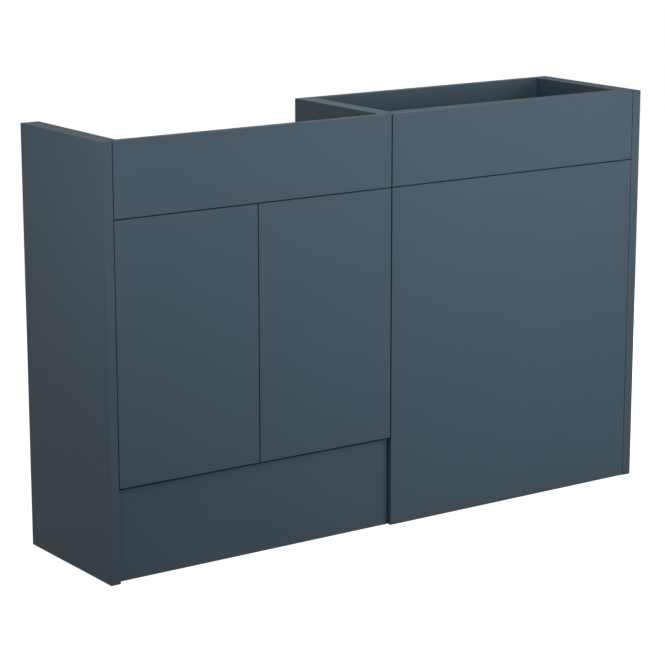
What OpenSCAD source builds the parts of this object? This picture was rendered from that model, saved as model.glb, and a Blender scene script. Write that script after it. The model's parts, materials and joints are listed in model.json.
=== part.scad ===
// Fitted basin unit and back-to-wall toilet unit, joined side by side between two end panels.
// Millimetres. X runs to the right, Y to the back, Z up. The origin is the centre of the footprint.

/* [Overall] */
// Width of the basin unit, outside its side boards
basin_w = 600; // [560:1:800]
// Width of the toilet unit, outside its side boards
wc_w = 600; // [560:1:700]
// Height of the whole run
height = 800; // [770:1:840]
// Depth from the door faces to the wall
depth = 296; // [280:1:360]

/* [Boards] */
// Thickness of an end panel
panel_t = 20; // [16:0.5:24]
// Thickness of a carcass board or rail
board_t = 18; // [17:0.5:20]
// Thickness of a door, fascia or front panel
front_t = 18; // [17:0.5:20]
// Gap between two neighbouring fronts
reveal = 2; // [1.6:0.1:4]
// Gap between a door's hinged edge and the end of its unit
hinge_side_gap = 1.5; // [1.3:0.1:2]
// Gap between a door and the carcass, taken up by the bumpers
bumper_gap = 2; // [1.6:0.1:3]

/* [Levels] */
// Height of the fascia zone, from the top down to the joint line above the doors
fascia_h = 138; // [130:1:155]
// Underside of the basin unit's base board
base_z = 175; // [165:1:185]
// How far a door's lower edge hangs above the underside of the base board
door_lift = 2; // [1:0.5:4]
// Gap between the floor and a front that runs down to it
floor_gap = 1; // [0.5:0.5:4]

/* [Plinth] */
// Thickness of the plinth board
plinth_t = 16; // [12:0.5:18]
// Setback of the plinth face behind the door faces
plinth_setback = 10; // [6:0.5:30]
// Gap between the plinth board and what stands around it
plinth_gap = 1; // [0.5:0.1:2]
// Gap between the plinth's top edge and the base board
plinth_top_gap = 3; // [2:0.5:6]

/* [Rails] */
// Height of the rail behind the basin fascia
fascia_rail_h = 100; // [90:1:110]
// How far the fascia rail reaches below the joint line, as a stop for the doors
door_stop = 22; // [18:1:28]
// Height of a rail across the back of the basin unit
basin_rail_h = 80; // [70:1:90]
// Top of the basin unit's upper rear rail below the top of the run
basin_rail_drop = 160; // [140:1:180]
// Height of a rail across the front of the toilet unit
wc_rail_h = 80; // [75:1:82]
// Height of the rail across the top of the toilet unit's back
wc_back_rail_h = 100; // [90:1:120]
// Height of the toilet unit's lower rails above the floor
wc_rail_lift = 40; // [20:1:60]

/* [Hinges] */
// Distance of the hinge centres from a door's upper and lower edges
hinge_inset = 100; // [90:1:120]
// Radius of the bore for a hinge cup
cup_bore_r = 17.5; // [17.5:0.1:17.8]
// Wood left between the cup bore and the door's edge
cup_edge = 5; // [4.5:0.1:5.5]
// Depth of the cup bore
cup_bore_depth = 11.7; // [11.6:0.1:12.5]
// Clearance between a cup and its bore
cup_clearance = 0.1; // [0.05:0.05:0.2]
// Thickness of the cup's sheet metal
cup_wall = 0.8; // [0.6:0.1:1]
// Thickness of the cup's flange
flange_t = 1; // [0.8:0.1:1.2]
// Distance between the two screws of a cup flange
cup_screw_pitch = 45; // [44:0.5:48]
// Distance of the flange screws behind the cup centre, away from the door's edge
cup_screw_offset = 9.5; // [9:0.1:10]
// Radius of a hinge pin
pin_r = 1.5; // [1.3:0.1:1.6]
// Radial clearance of a link on its pin
pin_clearance = 0.05; // [0.02:0.01:0.08]
// Cup pin, distance from the door's edge
cup_pin_edge = 10; // [9.8:0.1:10.2]
// Cup pin, depth below the door's inner face
cup_pin_depth = 4; // [3.8:0.1:4.2]
// Arm pin, distance from the inner face of the side board
arm_pin_off = 13; // [12.8:0.1:13.2]
// Arm pin, distance behind the front edge of the side board
arm_pin_back = 16; // [15.8:0.1:16.2]
// Width of a hinge link along its pins
link_w = 10; // [8:0.5:10.4]
// Thickness of a hinge link
link_t = 2; // [1.6:0.1:2.2]
// Distance of the mounting plate's screws behind the front edge of the side board
plate_back = 37; // [36:0.5:40]
// Distance between the two screws of a mounting plate
plate_pitch = 32; // [30:0.5:34]

/* [Legs] */
// Distance of a leg's centre from the ends of the basin unit
leg_inset = 60; // [50:1:90]
// Distance of a front leg's centre behind the plinth board
leg_behind_plinth = 34; // [30:1:40]
// Distance of a rear leg's centre from the back edge
leg_from_back = 50; // [45:1:70]
// Outer radius of a leg tube
leg_r = 16; // [14:0.5:18]
// Radius of the stud on an adjustable foot
foot_stud_r = 10.95; // [9:0.05:11.45]
// Radius of a foot's disc
foot_r = 28; // [22:0.5:32]
// Thickness of a foot's disc
foot_t = 8; // [6:0.5:10]
// How far a foot can be screwed up into its leg
foot_travel = 12; // [8:1:15]

/* [Fixings] */
// Radius of a wood dowel
dowel_r = 4; // [3:0.5:4]
// Radius of a cam fitting
cam_r = 7.5; // [6:0.5:7.5]
// Distance of a cam's centre from the end of its board
cam_in = 24; // [20:1:34]
// Radius of a cam bolt
cam_bolt_r = 3; // [2.5:0.1:3]
// Radius of a wood screw's shank
screw_r = 2; // [1.5:0.1:2.2]
// Radius of a wood screw's head
screw_head_r = 3.8; // [3.6:0.1:4.5]
// Radius of a wall fixing hole
wall_hole_r = 2.75; // [2.5:0.05:4]
// Distance between the two wall fixing holes of a unit
wall_pitch = 400; // [300:1:440]
// Radius of the stud that holds the access panel
stud_r = 4; // [3:0.5:4.5]
// Radial clearance of a stud in its socket
stud_clearance = 0.06; // [0.03:0.01:0.1]
// Outer radius of a stud socket
socket_r = 7; // [6:0.5:8]

/* [Hidden] */
$fn = 40;

// Colours
SLATE = [0.26, 0.33, 0.38];
NICKEL = [0.72, 0.71, 0.69];
ZINC = [0.62, 0.63, 0.64];
BEECH = [0.79, 0.64, 0.44];
NYLON = [0.08, 0.08, 0.09];
CLEAR = [0.85, 0.87, 0.88];

// Slack left around a fixing in its hole, and the extra depth of a blind hole
hole_slack = 0.1;
end_slack = 1;

// How far a cutting shape runs past the face that it cuts
cut = 1;

// Planes of the run: ends, joint between the units, faces and back
run_w = basin_w + wc_w + 2 * panel_t;
x_left = -run_w / 2;
x_basin = x_left + panel_t;
x_joint = x_basin + basin_w;
x_wc_end = x_joint + wc_w;
y_face = -depth / 2;
y_back = depth / 2;
y_front_back = y_face + front_t;
y_carcass = y_front_back + bumper_gap;

// Inner faces of the side boards
x_b0 = x_basin + board_t;
x_b1 = x_joint - board_t;
x_w0 = x_joint + board_t;
x_w1 = x_wc_end - board_t;
x_basin_mid = (x_basin + x_joint) / 2;
x_wc_mid = (x_joint + x_wc_end) / 2;

// Fronts
seam_z = height - fascia_h;
fascia_z = seam_z + reveal / 2;
door_top = seam_z - reveal / 2;
door_z = base_z + door_lift;
door_w = (basin_w - reveal) / 2 - hinge_side_gap;
x_front0 = x_basin + hinge_side_gap;
x_front1 = x_joint - hinge_side_gap;

// Rails and base as [y0, y1, z0, z1, cam face], where the cams face back, front or under
base = [y_carcass, y_back, base_z, base_z + board_t, "under"];
fascia_rail = front_rail(y_carcass, seam_z - door_stop, fascia_rail_h);
rear_upper = back_rail(height - basin_rail_drop - basin_rail_h, basin_rail_h);
rear_lower = back_rail(base_z + board_t, basin_rail_h);
wc_top = front_rail(y_front_back, height - wc_rail_h, wc_rail_h);
wc_middle = front_rail(y_front_back, seam_z - wc_rail_h / 2, wc_rail_h);
wc_bottom = front_rail(y_front_back, wc_rail_lift, wc_rail_h);
wc_back_top = back_rail(height - wc_back_rail_h, wc_back_rail_h);
wc_back_bottom = back_rail(wc_rail_lift, wc_rail_h);
BASIN_MEMBERS = [base, fascia_rail, rear_upper, rear_lower];
WC_MEMBERS = [wc_top, wc_middle, wc_bottom, wc_back_top, wc_back_bottom];

function front_rail(y, z, h) = [y, y + board_t, z, z + h, "back"];
function back_rail(z, h) = [y_back - board_t, y_back, z, z + h, "front"];
function mid(a, b) = (a + b) / 2;

// Where the dowels and cams of a board stand on its end, as [y, z]
dowel_edge = 20;
base_cam_off = 38;
function lies_flat(m) = m[4] == "under";
function dowel_points(m) = lies_flat(m)
    ? [for (y = [m[0] + dowel_edge, mid(m[0], m[1]), m[1] - dowel_edge]) [y, mid(m[2], m[3])]]
    : [for (z = [m[2] + dowel_edge, m[3] - dowel_edge]) [mid(m[0], m[1]), z]];
function cam_points(m) = lies_flat(m)
    ? [for (s = [-1, 1]) [mid(m[0], m[1]) + s * base_cam_off, mid(m[2], m[3])]]
    : [[mid(m[0], m[1]), mid(m[2], m[3])]];

// Dowels and cam bolts: depth in the side board and in the board that it carries
dowel_side = 10;
dowel_rail = 20;
bolt_side = 11;
cam_depth = 12.5;
cam_slot_slack = 0.3;
cam_slot_w = 2 * (cam_bolt_r + cam_slot_slack);
cam_slot_back = 4;
cam_floor = 5.5;

// Screws through the fascia rail, with a packer between the rail and the fascia
packer_r = 7;
fascia_bite = 12;
fascia_screw_edge = 40;
fascia_screw_rise = 14;
fascia_screw_drop = 15;
fascia_screw_xs = [x_b0 + fascia_screw_edge, x_basin_mid, x_b1 - fascia_screw_edge];
fascia_screw_zs = [fascia_z + fascia_screw_rise, fascia_rail[3] - fascia_screw_drop];

// Corner blocks behind the lower panel of the toilet unit
block = 18;
block_h = 30;
block_screw_z = 8;
block_bite = 10;
block_count = 3;
block_step = (wc_middle[2] - wc_bottom[3]) / (block_count + 1);
block_zs = [for (i = [1:block_count]) wc_bottom[3] + i * block_step - block_h / 2];

// Access panel studs
stud_edge = 72;
stud_xs = [x_w0 + stud_edge, x_w1 - stud_edge];
stud_zs = [mid(fascia_z, wc_middle[3]), mid(wc_top[2], wc_top[3])];
stud_len = 10;
stud_root_r = stud_r + 1;
stud_root_len = 10;
socket_end_gap = 2;
socket_floor = 3;
socket_len = stud_len + socket_end_gap + socket_floor;

// Wall fixing holes of the toilet unit, above the lower edge of its top rail
wc_wall_hole_rise = 30;

// Bolts between the units and screws into the end panels
side_fix_front = 38;
side_fix_rear = 58;
side_fix_low = 50;
side_fix_high = 80;
side_fix_ys = [y_carcass + side_fix_front, y_back - side_fix_rear];
side_fix_zs = [base_z + side_fix_low, height - side_fix_high];
bolt_head_r = 7.5;
bolt_head_t = 3;
bolt_shank_r = 3;
bolt_end_gap = 6;
sleeve_r = 4.9;
sleeve_end_gap = 2;
panel_screw_bite = 12;
wood_head_t = 2;

// Hinge, seen from above: u runs from the end of the unit inwards, v from the door face backwards
hinge_zs = [door_z + hinge_inset, door_top - hinge_inset];
door_edge_u = hinge_side_gap;
carcass_v = front_t + bumper_gap;
cup_r = cup_bore_r - cup_clearance;
cup_u = door_edge_u + cup_edge + cup_bore_r;
cup_depth = cup_bore_depth - cup_clearance;
cup_pin = [door_edge_u + cup_pin_edge, front_t - cup_pin_depth];
arm_pin = [board_t + arm_pin_off, carcass_v + arm_pin_back];
link_span = norm(arm_pin - cup_pin);
link_angle = atan2(arm_pin[1] - cup_pin[1], arm_pin[0] - cup_pin[0]);
link_centre = (arm_pin + cup_pin) / 2;
cup_eye_wall = 0.9;
arm_eye_wall = 1.5;
cup_eye_r = pin_r + cup_eye_wall;
arm_eye_r = pin_r + arm_eye_wall;
ear_gap = 0.3;
ear_t = 2;
ear_z = link_w / 2 + ear_gap;
hinge_half_h = ear_z + ear_t;
cup_ear_half = 2.9;
flange_rim = 2;
flange_wing = 6;
flange_tip = 6.5;
flange_r = cup_r + flange_rim;
flange_half_h = cup_screw_pitch / 2 + flange_tip;
cup_screw_len = 10;
cup_screw_r = 1.7;
cup_head_r = 3.3;
cup_head_t = 0.9;
arm_half = 4;
arm_slot = 10;
arm_len = 60;
arm_slot_end = arm_pin[1] + arm_slot;
arm_end = arm_pin[1] + arm_len;
plate_base_t = 2;
plate_lead = 2;
plate_tail = 6;
plate_start = arm_slot_end - plate_lead;
plate_end = arm_end - plate_tail;
plate_wing = 6;
plate_half_h = plate_pitch / 2 + plate_wing;
plate_screw_len = 13;
plate_screw_r = 2.5;
plate_head_r = 4.5;
arm_screw_in = 9;
arm_screw_out = 14;
arm_screw_vs = [arm_slot_end + arm_screw_in, arm_end - arm_screw_out];
arm_screw_r = 3;
arm_screw_t = 1.2;

// Door bumpers
bumper_r = 4;
bumper_edge = 12;
bumper_zs = [base_z + board_t / 2, mid(fascia_rail[2], door_top)];

// Plinth, legs and clips
plinth_y = y_face + plinth_setback;
plinth_top = base_z - plinth_top_gap;
plinth_back = plinth_y + plinth_t;
leg_xs = [x_basin + leg_inset, x_joint - leg_inset];
leg_front_y = plinth_back + leg_behind_plinth;
leg_rear_y = y_back - leg_from_back;
leg_places = [for (x = leg_xs) for (y = [leg_front_y, leg_rear_y]) [x, y]];
socket_flange = 16;
leg_screw_out = 10;
socket_plate_r = leg_r + socket_flange;
socket_plate_t = 4;
socket_wall = 4;
socket_h = 36;
leg_screw_circle = leg_r + leg_screw_out;
leg_screw_len = 12;
foot_stud_clearance = 0.05;
leg_gap = 5;
foot_engaged = 45;
leg_bottom = foot_t + foot_travel + leg_gap;
leg_top = base_z - socket_plate_t;
foot_stud_top = leg_bottom + foot_engaged;
clip_rise = 15;
clip_z = plinth_top / 2 + clip_rise;
clip_plate = 40;
clip_plate_t = 4;
clip_gap = 0.3;
clip_jaw_t = 3;
clip_h = 16;
clip_past = 8;
clip_screw_z = 14;
clip_screw_bite = 10;

// A board between two corners
module board(x0, x1, y0, y1, z0, z1) {
    translate([x0, y0, z0]) cube([x1 - x0, y1 - y0, z1 - z0]);
}

// Round bars along X, Y and Z
module bar_x(x0, x1, y, z, r) {
    translate([x0, y, z]) rotate([0, 90, 0]) cylinder(r = r, h = x1 - x0);
}

module bar_y(y0, y1, x, z, r) {
    translate([x, y0, z]) rotate([-90, 0, 0]) cylinder(r = r, h = y1 - y0);
}

module bar_z(z0, z1, x, y, r) {
    translate([x, y, z0]) cylinder(r = r, h = z1 - z0);
}

// A bar through the joint face of a side board: dir is +1 where the rail lies to the right of it
module joint_bar(x_face, dir, point, in_side, in_rail, r) {
    a = x_face - dir * in_side;
    b = x_face + dir * in_rail;
    bar_x(min(a, b), max(a, b), point[0], point[1], r);
}

// Bores in a side board for the dowels and cam bolts of all that it carries
module side_bores(x_face, dir, members) {
    for (m = members) {
        for (p = dowel_points(m))
            joint_bar(x_face, dir, p, dowel_side + end_slack, cut, dowel_r + hole_slack);
        for (p = cam_points(m))
            joint_bar(x_face, dir, p, bolt_side + end_slack, cut, cam_bolt_r + hole_slack);
    }
}

// The round body of a cam, sunk from its board's hidden face
module cam_body(m, x, point, r, depth_in) {
    if (m[4] == "under") bar_z(m[2], m[2] + depth_in, x, point[0], r);
    if (m[4] == "back") bar_y(m[1] - depth_in, m[1], x, point[1], r);
    if (m[4] == "front") bar_y(m[0], m[0] + depth_in, x, point[1], r);
}

module cam(m, x, dir, point) {
    half = cam_slot_w / 2;
    a = x - dir * (cam_r + cut);
    b = x + dir * cam_slot_back;
    reach = cam_depth + cut;
    difference() {
        cam_body(m, x, point, cam_r, cam_depth);
        if (m[4] == "under")
            board(min(a, b), max(a, b), point[0] - half, point[0] + half,
                m[2] + cam_floor, m[2] + reach);
        if (m[4] == "back")
            board(min(a, b), max(a, b), m[1] - reach, m[1] - cam_floor,
                point[1] - half, point[1] + half);
        if (m[4] == "front")
            board(min(a, b), max(a, b), m[0] + cam_floor, m[0] + reach,
                point[1] - half, point[1] + half);
    }
}

// A rail or base board with the bores for its dowels, cam bolts and cams at both ends
module member(m, x0, x1) {
    difference() {
        board(x0, x1, m[0], m[1], m[2], m[3]);
        for (end = [[x0, 1], [x1, -1]]) {
            for (p = dowel_points(m))
                joint_bar(end[0], end[1], p, cut, dowel_rail + end_slack, dowel_r + hole_slack);
            for (p = cam_points(m)) {
                joint_bar(end[0], end[1], p, cut, cam_in, cam_bolt_r + hole_slack);
                cam_body(m, end[0] + end[1] * cam_in, p, cam_r + hole_slack,
                    cam_depth + hole_slack);
            }
        }
    }
}

module cams(members, x0, x1) {
    for (m = members)
        for (end = [[x0, 1], [x1, -1]])
            for (p = cam_points(m)) cam(m, end[0] + end[1] * cam_in, end[1], p);
}

module cam_bolts(members, x0, x1) {
    for (m = members)
        for (end = [[x0, 1], [x1, -1]])
            for (p = cam_points(m))
                joint_bar(end[0], end[1], p, bolt_side, cam_in, cam_bolt_r);
}

module dowels(members, x0, x1) {
    for (m = members)
        for (end = [[x0, 1], [x1, -1]])
            for (p = dowel_points(m))
                joint_bar(end[0], end[1], p, dowel_side, dowel_rail, dowel_r);
}

// Wall fixing holes through a rear rail
module wall_holes(m, x_mid, z) {
    for (s = [-1, 1])
        bar_y(m[0] - cut, m[1] + cut, x_mid + s * wall_pitch / 2, z, wall_hole_r);
}

// Holes through a side board where the units or the end panels are joined on
module side_fix_bars(x0, x1, r) {
    for (y = side_fix_ys)
        for (z = side_fix_zs) bar_x(x0, x1, y, z, r);
}

// Everything on the left door's side is mirrored for the right door
module at_side(side) {
    if (side == "left") children();
    if (side == "right") translate([2 * x_basin_mid, 0, 0]) mirror([1, 0, 0]) children();
}

// Both hinges of a door, in hinge coordinates
module at_hinges() {
    for (z = hinge_zs) translate([x_basin, y_face, z]) children();
}

module hinge_plate_bores() {
    for (s = [-1, 1])
        bar_x(board_t - plate_screw_len - end_slack, board_t + cut, carcass_v + plate_back,
            s * plate_pitch / 2, plate_screw_r + hole_slack);
}

// End panels
module end_panel(x0, x_inner, dir) {
    difference() {
        board(x0, x0 + panel_t, y_face, y_back, 0, height);
        a = x_inner - dir * (panel_screw_bite + end_slack);
        b = x_inner + dir * cut;
        side_fix_bars(min(a, b), max(a, b), screw_r + hole_slack);
    }
}

module end_panel_left() {
    color(SLATE) end_panel(x_left, x_basin, 1);
}

module end_panel_right() {
    color(SLATE) end_panel(x_wc_end, x_wc_end, -1);
}

// Basin unit carcass
module basin_side_left() {
    color(SLATE) difference() {
        board(x_basin, x_b0, y_carcass, y_back, base_z, height);
        side_bores(x_b0, 1, BASIN_MEMBERS);
        side_fix_bars(x_basin - cut, x_b0 + cut, screw_r + hole_slack);
        at_hinges() hinge_plate_bores();
    }
}

module basin_side_right() {
    color(SLATE) difference() {
        board(x_b1, x_joint, y_carcass, y_back, base_z, height);
        side_bores(x_b1, -1, BASIN_MEMBERS);
        side_fix_bars(x_b1 - cut, x_joint + cut, sleeve_r + hole_slack);
        at_side("right") at_hinges() hinge_plate_bores();
    }
}

module basin_base() {
    color(SLATE) difference() {
        member(base, x_b0, x_b1);
        leg_screw_bars(base_z - cut, base_z + leg_screw_len + end_slack, screw_r + hole_slack);
    }
}

module fascia_screw_bars(y0, y1, r) {
    for (x = fascia_screw_xs)
        for (z = fascia_screw_zs) bar_y(y0, y1, x, z, r);
}

module basin_fascia_rail() {
    color(SLATE) difference() {
        member(fascia_rail, x_b0, x_b1);
        fascia_screw_bars(fascia_rail[0] - cut, fascia_rail[1] + cut, screw_r + hole_slack);
    }
}

module basin_fascia() {
    color(SLATE) difference() {
        board(x_front0, x_front1, y_face, y_front_back, fascia_z, height);
        fascia_screw_bars(y_front_back - fascia_bite - end_slack, y_front_back + cut,
            screw_r + hole_slack);
    }
}

module fascia_packers() {
    color(NYLON) difference() {
        fascia_screw_bars(y_front_back, y_carcass, packer_r);
        fascia_screw_bars(y_front_back - cut, y_carcass + cut, screw_r + hole_slack);
    }
}

module fascia_screws() {
    color(ZINC) {
        fascia_screw_bars(y_front_back - fascia_bite, fascia_rail[1] + wood_head_t / 2, screw_r);
        fascia_screw_bars(fascia_rail[1], fascia_rail[1] + wood_head_t, screw_head_r);
    }
}

module basin_rear_rail_upper() {
    color(SLATE) difference() {
        member(rear_upper, x_b0, x_b1);
        wall_holes(rear_upper, x_basin_mid, mid(rear_upper[2], rear_upper[3]));
    }
}

module basin_rear_rail_lower() {
    color(SLATE) member(rear_lower, x_b0, x_b1);
}

module basin_cams() {
    color(ZINC) cams(BASIN_MEMBERS, x_b0, x_b1);
}

module basin_cam_bolts() {
    color(ZINC) cam_bolts(BASIN_MEMBERS, x_b0, x_b1);
}

module basin_dowels() {
    color(BEECH) dowels(BASIN_MEMBERS, x_b0, x_b1);
}

// Toilet unit carcass
module block_side_bores(x_face, dir) {
    for (z = block_zs)
        joint_bar(x_face, dir, [y_front_back + block / 2, z + block_h / 2 + block_screw_z],
            block_bite + end_slack, cut, screw_r + hole_slack);
}

module wc_side_left() {
    color(SLATE) difference() {
        board(x_joint, x_w0, y_front_back, y_back, 0, height);
        side_bores(x_w0, 1, WC_MEMBERS);
        side_fix_bars(x_joint - cut, x_w0 + cut, sleeve_r + hole_slack);
        block_side_bores(x_w0, 1);
    }
}

module wc_side_right() {
    color(SLATE) difference() {
        board(x_w1, x_wc_end, y_front_back, y_back, 0, height);
        side_bores(x_w1, -1, WC_MEMBERS);
        side_fix_bars(x_w1 - cut, x_wc_end + cut, screw_r + hole_slack);
        block_side_bores(x_w1, -1);
    }
}

module stud_bars(y0, y1, zs, r) {
    for (x = stud_xs)
        for (z = zs) bar_y(y0, y1, x, z, r);
}

module socket_bores(z) {
    stud_bars(y_front_back - cut, y_front_back + socket_len + hole_slack, [z],
        socket_r + hole_slack);
}

module wc_front_rail_top() {
    color(SLATE) difference() {
        member(wc_top, x_w0, x_w1);
        socket_bores(stud_zs[1]);
    }
}

module wc_front_rail_middle() {
    color(SLATE) difference() {
        member(wc_middle, x_w0, x_w1);
        socket_bores(stud_zs[0]);
    }
}

module wc_front_rail_bottom() {
    color(SLATE) member(wc_bottom, x_w0, x_w1);
}

module wc_rear_rail_top() {
    color(SLATE) difference() {
        member(wc_back_top, x_w0, x_w1);
        wall_holes(wc_back_top, x_wc_mid, wc_back_top[2] + wc_wall_hole_rise);
    }
}

module wc_rear_rail_bottom() {
    color(SLATE) member(wc_back_bottom, x_w0, x_w1);
}

module wc_cams() {
    color(ZINC) cams(WC_MEMBERS, x_w0, x_w1);
}

module wc_cam_bolts() {
    color(ZINC) cam_bolts(WC_MEMBERS, x_w0, x_w1);
}

module wc_dowels() {
    color(BEECH) dowels(WC_MEMBERS, x_w0, x_w1);
}

// Toilet unit fronts
module block_panel_bars(y0, y1, r) {
    for (x = [x_w0 + block / 2, x_w1 - block / 2])
        for (z = block_zs) bar_y(y0, y1, x, z + block_h / 2 - block_screw_z, r);
}

module block_side_bars(bite, head, r) {
    for (z = block_zs) {
        p = [y_front_back + block / 2, z + block_h / 2 + block_screw_z];
        joint_bar(x_w0, 1, p, bite, block + head, r);
        joint_bar(x_w1, -1, p, bite, block + head, r);
    }
}

module wc_lower_panel() {
    color(SLATE) difference() {
        board(x_joint + reveal / 2, x_wc_end - reveal / 2, y_face, y_front_back,
            floor_gap, door_top);
        block_panel_bars(y_front_back - block_bite - end_slack, y_front_back + cut,
            screw_r + hole_slack);
    }
}

module wc_corner_blocks() {
    color(NYLON) difference() {
        for (x = [x_w0, x_w1 - block])
            for (z = block_zs)
                board(x, x + block, y_front_back, y_front_back + block, z, z + block_h);
        block_panel_bars(y_front_back - cut, y_front_back + block + cut, screw_r + hole_slack);
        block_side_bars(cut, cut, screw_r + hole_slack);
    }
}

module wc_corner_block_screws() {
    color(ZINC) {
        back = y_front_back + block;
        block_panel_bars(y_front_back - block_bite, back + wood_head_t / 2, screw_r);
        block_panel_bars(back, back + wood_head_t, screw_head_r);
        block_side_bars(block_bite, wood_head_t / 2, screw_r);
        block_side_bars(-block, wood_head_t, screw_head_r);
    }
}

module wc_access_panel() {
    color(SLATE) difference() {
        board(x_joint + reveal / 2, x_wc_end - reveal / 2, y_face, y_front_back,
            fascia_z, height);
        stud_bars(y_front_back - stud_root_len - hole_slack, y_front_back + cut, stud_zs,
            stud_root_r + hole_slack);
    }
}

module access_panel_studs() {
    color(NYLON) {
        stud_bars(y_front_back - stud_root_len, y_front_back, stud_zs, stud_root_r);
        stud_bars(y_front_back - stud_root_len, y_front_back + stud_len, stud_zs, stud_r);
    }
}

module stud_sockets() {
    color(NYLON) difference() {
        stud_bars(y_front_back, y_front_back + socket_len, stud_zs, socket_r);
        stud_bars(y_front_back - cut, y_front_back + stud_len + socket_end_gap, stud_zs,
            stud_r + stud_clearance);
    }
}

// Fixings between the units and into the end panels
module unit_joining_bolts() {
    color(ZINC) {
        side_fix_bars(x_b1 - bolt_head_t, x_b1, bolt_head_r);
        side_fix_bars(x_b1 - bolt_head_t / 2, x_w0 - bolt_end_gap, bolt_shank_r);
    }
}

module unit_joining_sleeves() {
    color(ZINC) difference() {
        union() {
            side_fix_bars(x_w0, x_w0 + bolt_head_t, bolt_head_r);
            side_fix_bars(x_b1 + sleeve_end_gap, x_w0 + bolt_head_t / 2, sleeve_r);
        }
        side_fix_bars(x_b1, x_w0 - bolt_end_gap + end_slack, bolt_shank_r + hole_slack);
    }
}

module end_panel_screws() {
    color(ZINC) {
        side_fix_bars(x_basin - panel_screw_bite, x_b0 + wood_head_t / 2, screw_r);
        side_fix_bars(x_b0, x_b0 + wood_head_t, screw_head_r);
        side_fix_bars(x_w1 - wood_head_t / 2, x_wc_end + panel_screw_bite, screw_r);
        side_fix_bars(x_w1 - wood_head_t, x_w1, screw_head_r);
    }
}

// Doors
module cup_screw_bars(v0, v1, r) {
    for (s = [-1, 1])
        bar_y(v0, v1, cup_u + cup_screw_offset, s * cup_screw_pitch / 2, r);
}

module door(side) {
    at_side(side) difference() {
        board(x_front0, x_front0 + door_w, y_face, y_front_back, door_z, door_top);
        at_hinges() {
            bar_y(front_t - cup_bore_depth, front_t + cut, cup_u, 0, cup_bore_r);
            cup_screw_bars(front_t - cup_screw_len - end_slack, front_t + cut,
                cup_screw_r + hole_slack);
        }
    }
}

module door_left() {
    color(SLATE) door("left");
}

module door_right() {
    color(SLATE) door("right");
}

module door_bumpers(side) {
    at_side(side)
        for (z = bumper_zs)
            bar_y(y_front_back, y_carcass, x_front0 + door_w - bumper_edge, z, bumper_r);
}

module door_bumpers_left() {
    color(CLEAR) door_bumpers("left");
}

module door_bumpers_right() {
    color(CLEAR) door_bumpers("right");
}

// Hinge cup: a drawn steel cup with a winged flange and two ears for its pin
module hinge_cup() {
    bottom = front_t - cup_depth;
    difference() {
        union() {
            difference() {
                union() {
                    bar_y(bottom, front_t + flange_t, cup_u, 0, cup_r);
                    bar_y(front_t, front_t + flange_t, cup_u, 0, flange_r);
                    board(cup_u + cup_screw_offset - flange_wing,
                        cup_u + cup_screw_offset + flange_wing,
                        front_t, front_t + flange_t, -flange_half_h, flange_half_h);
                }
                bar_y(bottom + cup_wall, front_t + flange_t + cut, cup_u, 0, cup_r - cup_wall);
                cup_screw_bars(front_t - cut, front_t + flange_t + cut, cup_screw_r + hole_slack);
            }
            for (z = [ear_z, -ear_z - ear_t])
                board(cup_pin[0] - cup_ear_half, cup_pin[0] + cup_ear_half,
                    bottom + cup_wall / 2, cup_pin[1] + cup_eye_r, z, z + ear_t);
        }
        bar_z(-hinge_half_h - cut, hinge_half_h + cut, cup_pin[0], cup_pin[1],
            pin_r + hole_slack / 2);
    }
}

// Link: a half ring of steel strap from the cup pin round the door's edge to the arm pin
module hinge_link() {
    ring_r = link_span / 2;
    reach = ring_r + link_t;
    difference() {
        union() {
            intersection() {
                difference() {
                    bar_z(-link_w / 2, link_w / 2, link_centre[0], link_centre[1],
                        ring_r + link_t / 2);
                    bar_z(-link_w, link_w, link_centre[0], link_centre[1],
                        ring_r - link_t / 2);
                }
                translate([link_centre[0], link_centre[1], -link_w])
                    rotate([0, 0, link_angle])
                        translate([-reach, -reach, 0]) cube([2 * reach, reach, 2 * link_w]);
            }
            bar_z(-link_w / 2, link_w / 2, cup_pin[0], cup_pin[1], cup_eye_r);
            bar_z(-link_w / 2, link_w / 2, arm_pin[0], arm_pin[1], arm_eye_r);
        }
        for (p = [cup_pin, arm_pin])
            bar_z(-link_w, link_w, p[0], p[1], pin_r + pin_clearance);
    }
}

// Arm: a channel that clips on the mounting plate and carries the arm pin between its ears
module hinge_arm() {
    difference() {
        union() {
            bar_z(-hinge_half_h, hinge_half_h, arm_pin[0], arm_pin[1], arm_half);
            board(arm_pin[0] - arm_half, arm_pin[0] + arm_half, arm_pin[1], arm_end,
                -hinge_half_h, hinge_half_h);
        }
        board(arm_pin[0] - 2 * arm_half, arm_pin[0] + 2 * arm_half,
            arm_pin[1] - 2 * arm_half, arm_slot_end, -ear_z, ear_z);
        bar_z(-hinge_half_h - cut, hinge_half_h + cut, arm_pin[0], arm_pin[1],
            pin_r + hole_slack / 2);
    }
}

module hinge_plate() {
    wing_v = carcass_v + plate_back;
    difference() {
        union() {
            board(board_t, arm_pin[0] - arm_half, plate_start, plate_end,
                -hinge_half_h, hinge_half_h);
            board(board_t, board_t + plate_base_t, wing_v - plate_wing, wing_v + plate_wing,
                -plate_half_h, plate_half_h);
        }
        for (s = [-1, 1])
            bar_x(board_t - cut, board_t + plate_base_t + cut, wing_v, s * plate_pitch / 2,
                plate_screw_r + hole_slack);
    }
}

module hinge_cups_left() {
    color(NICKEL) at_side("left") at_hinges() hinge_cup();
}

module hinge_cups_right() {
    color(NICKEL) at_side("right") at_hinges() hinge_cup();
}

module hinge_cup_pin() {
    bar_z(-hinge_half_h, hinge_half_h, cup_pin[0], cup_pin[1], pin_r);
}

module hinge_cup_pins_left() {
    color(NICKEL) at_side("left") at_hinges() hinge_cup_pin();
}

module hinge_cup_pins_right() {
    color(NICKEL) at_side("right") at_hinges() hinge_cup_pin();
}

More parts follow.
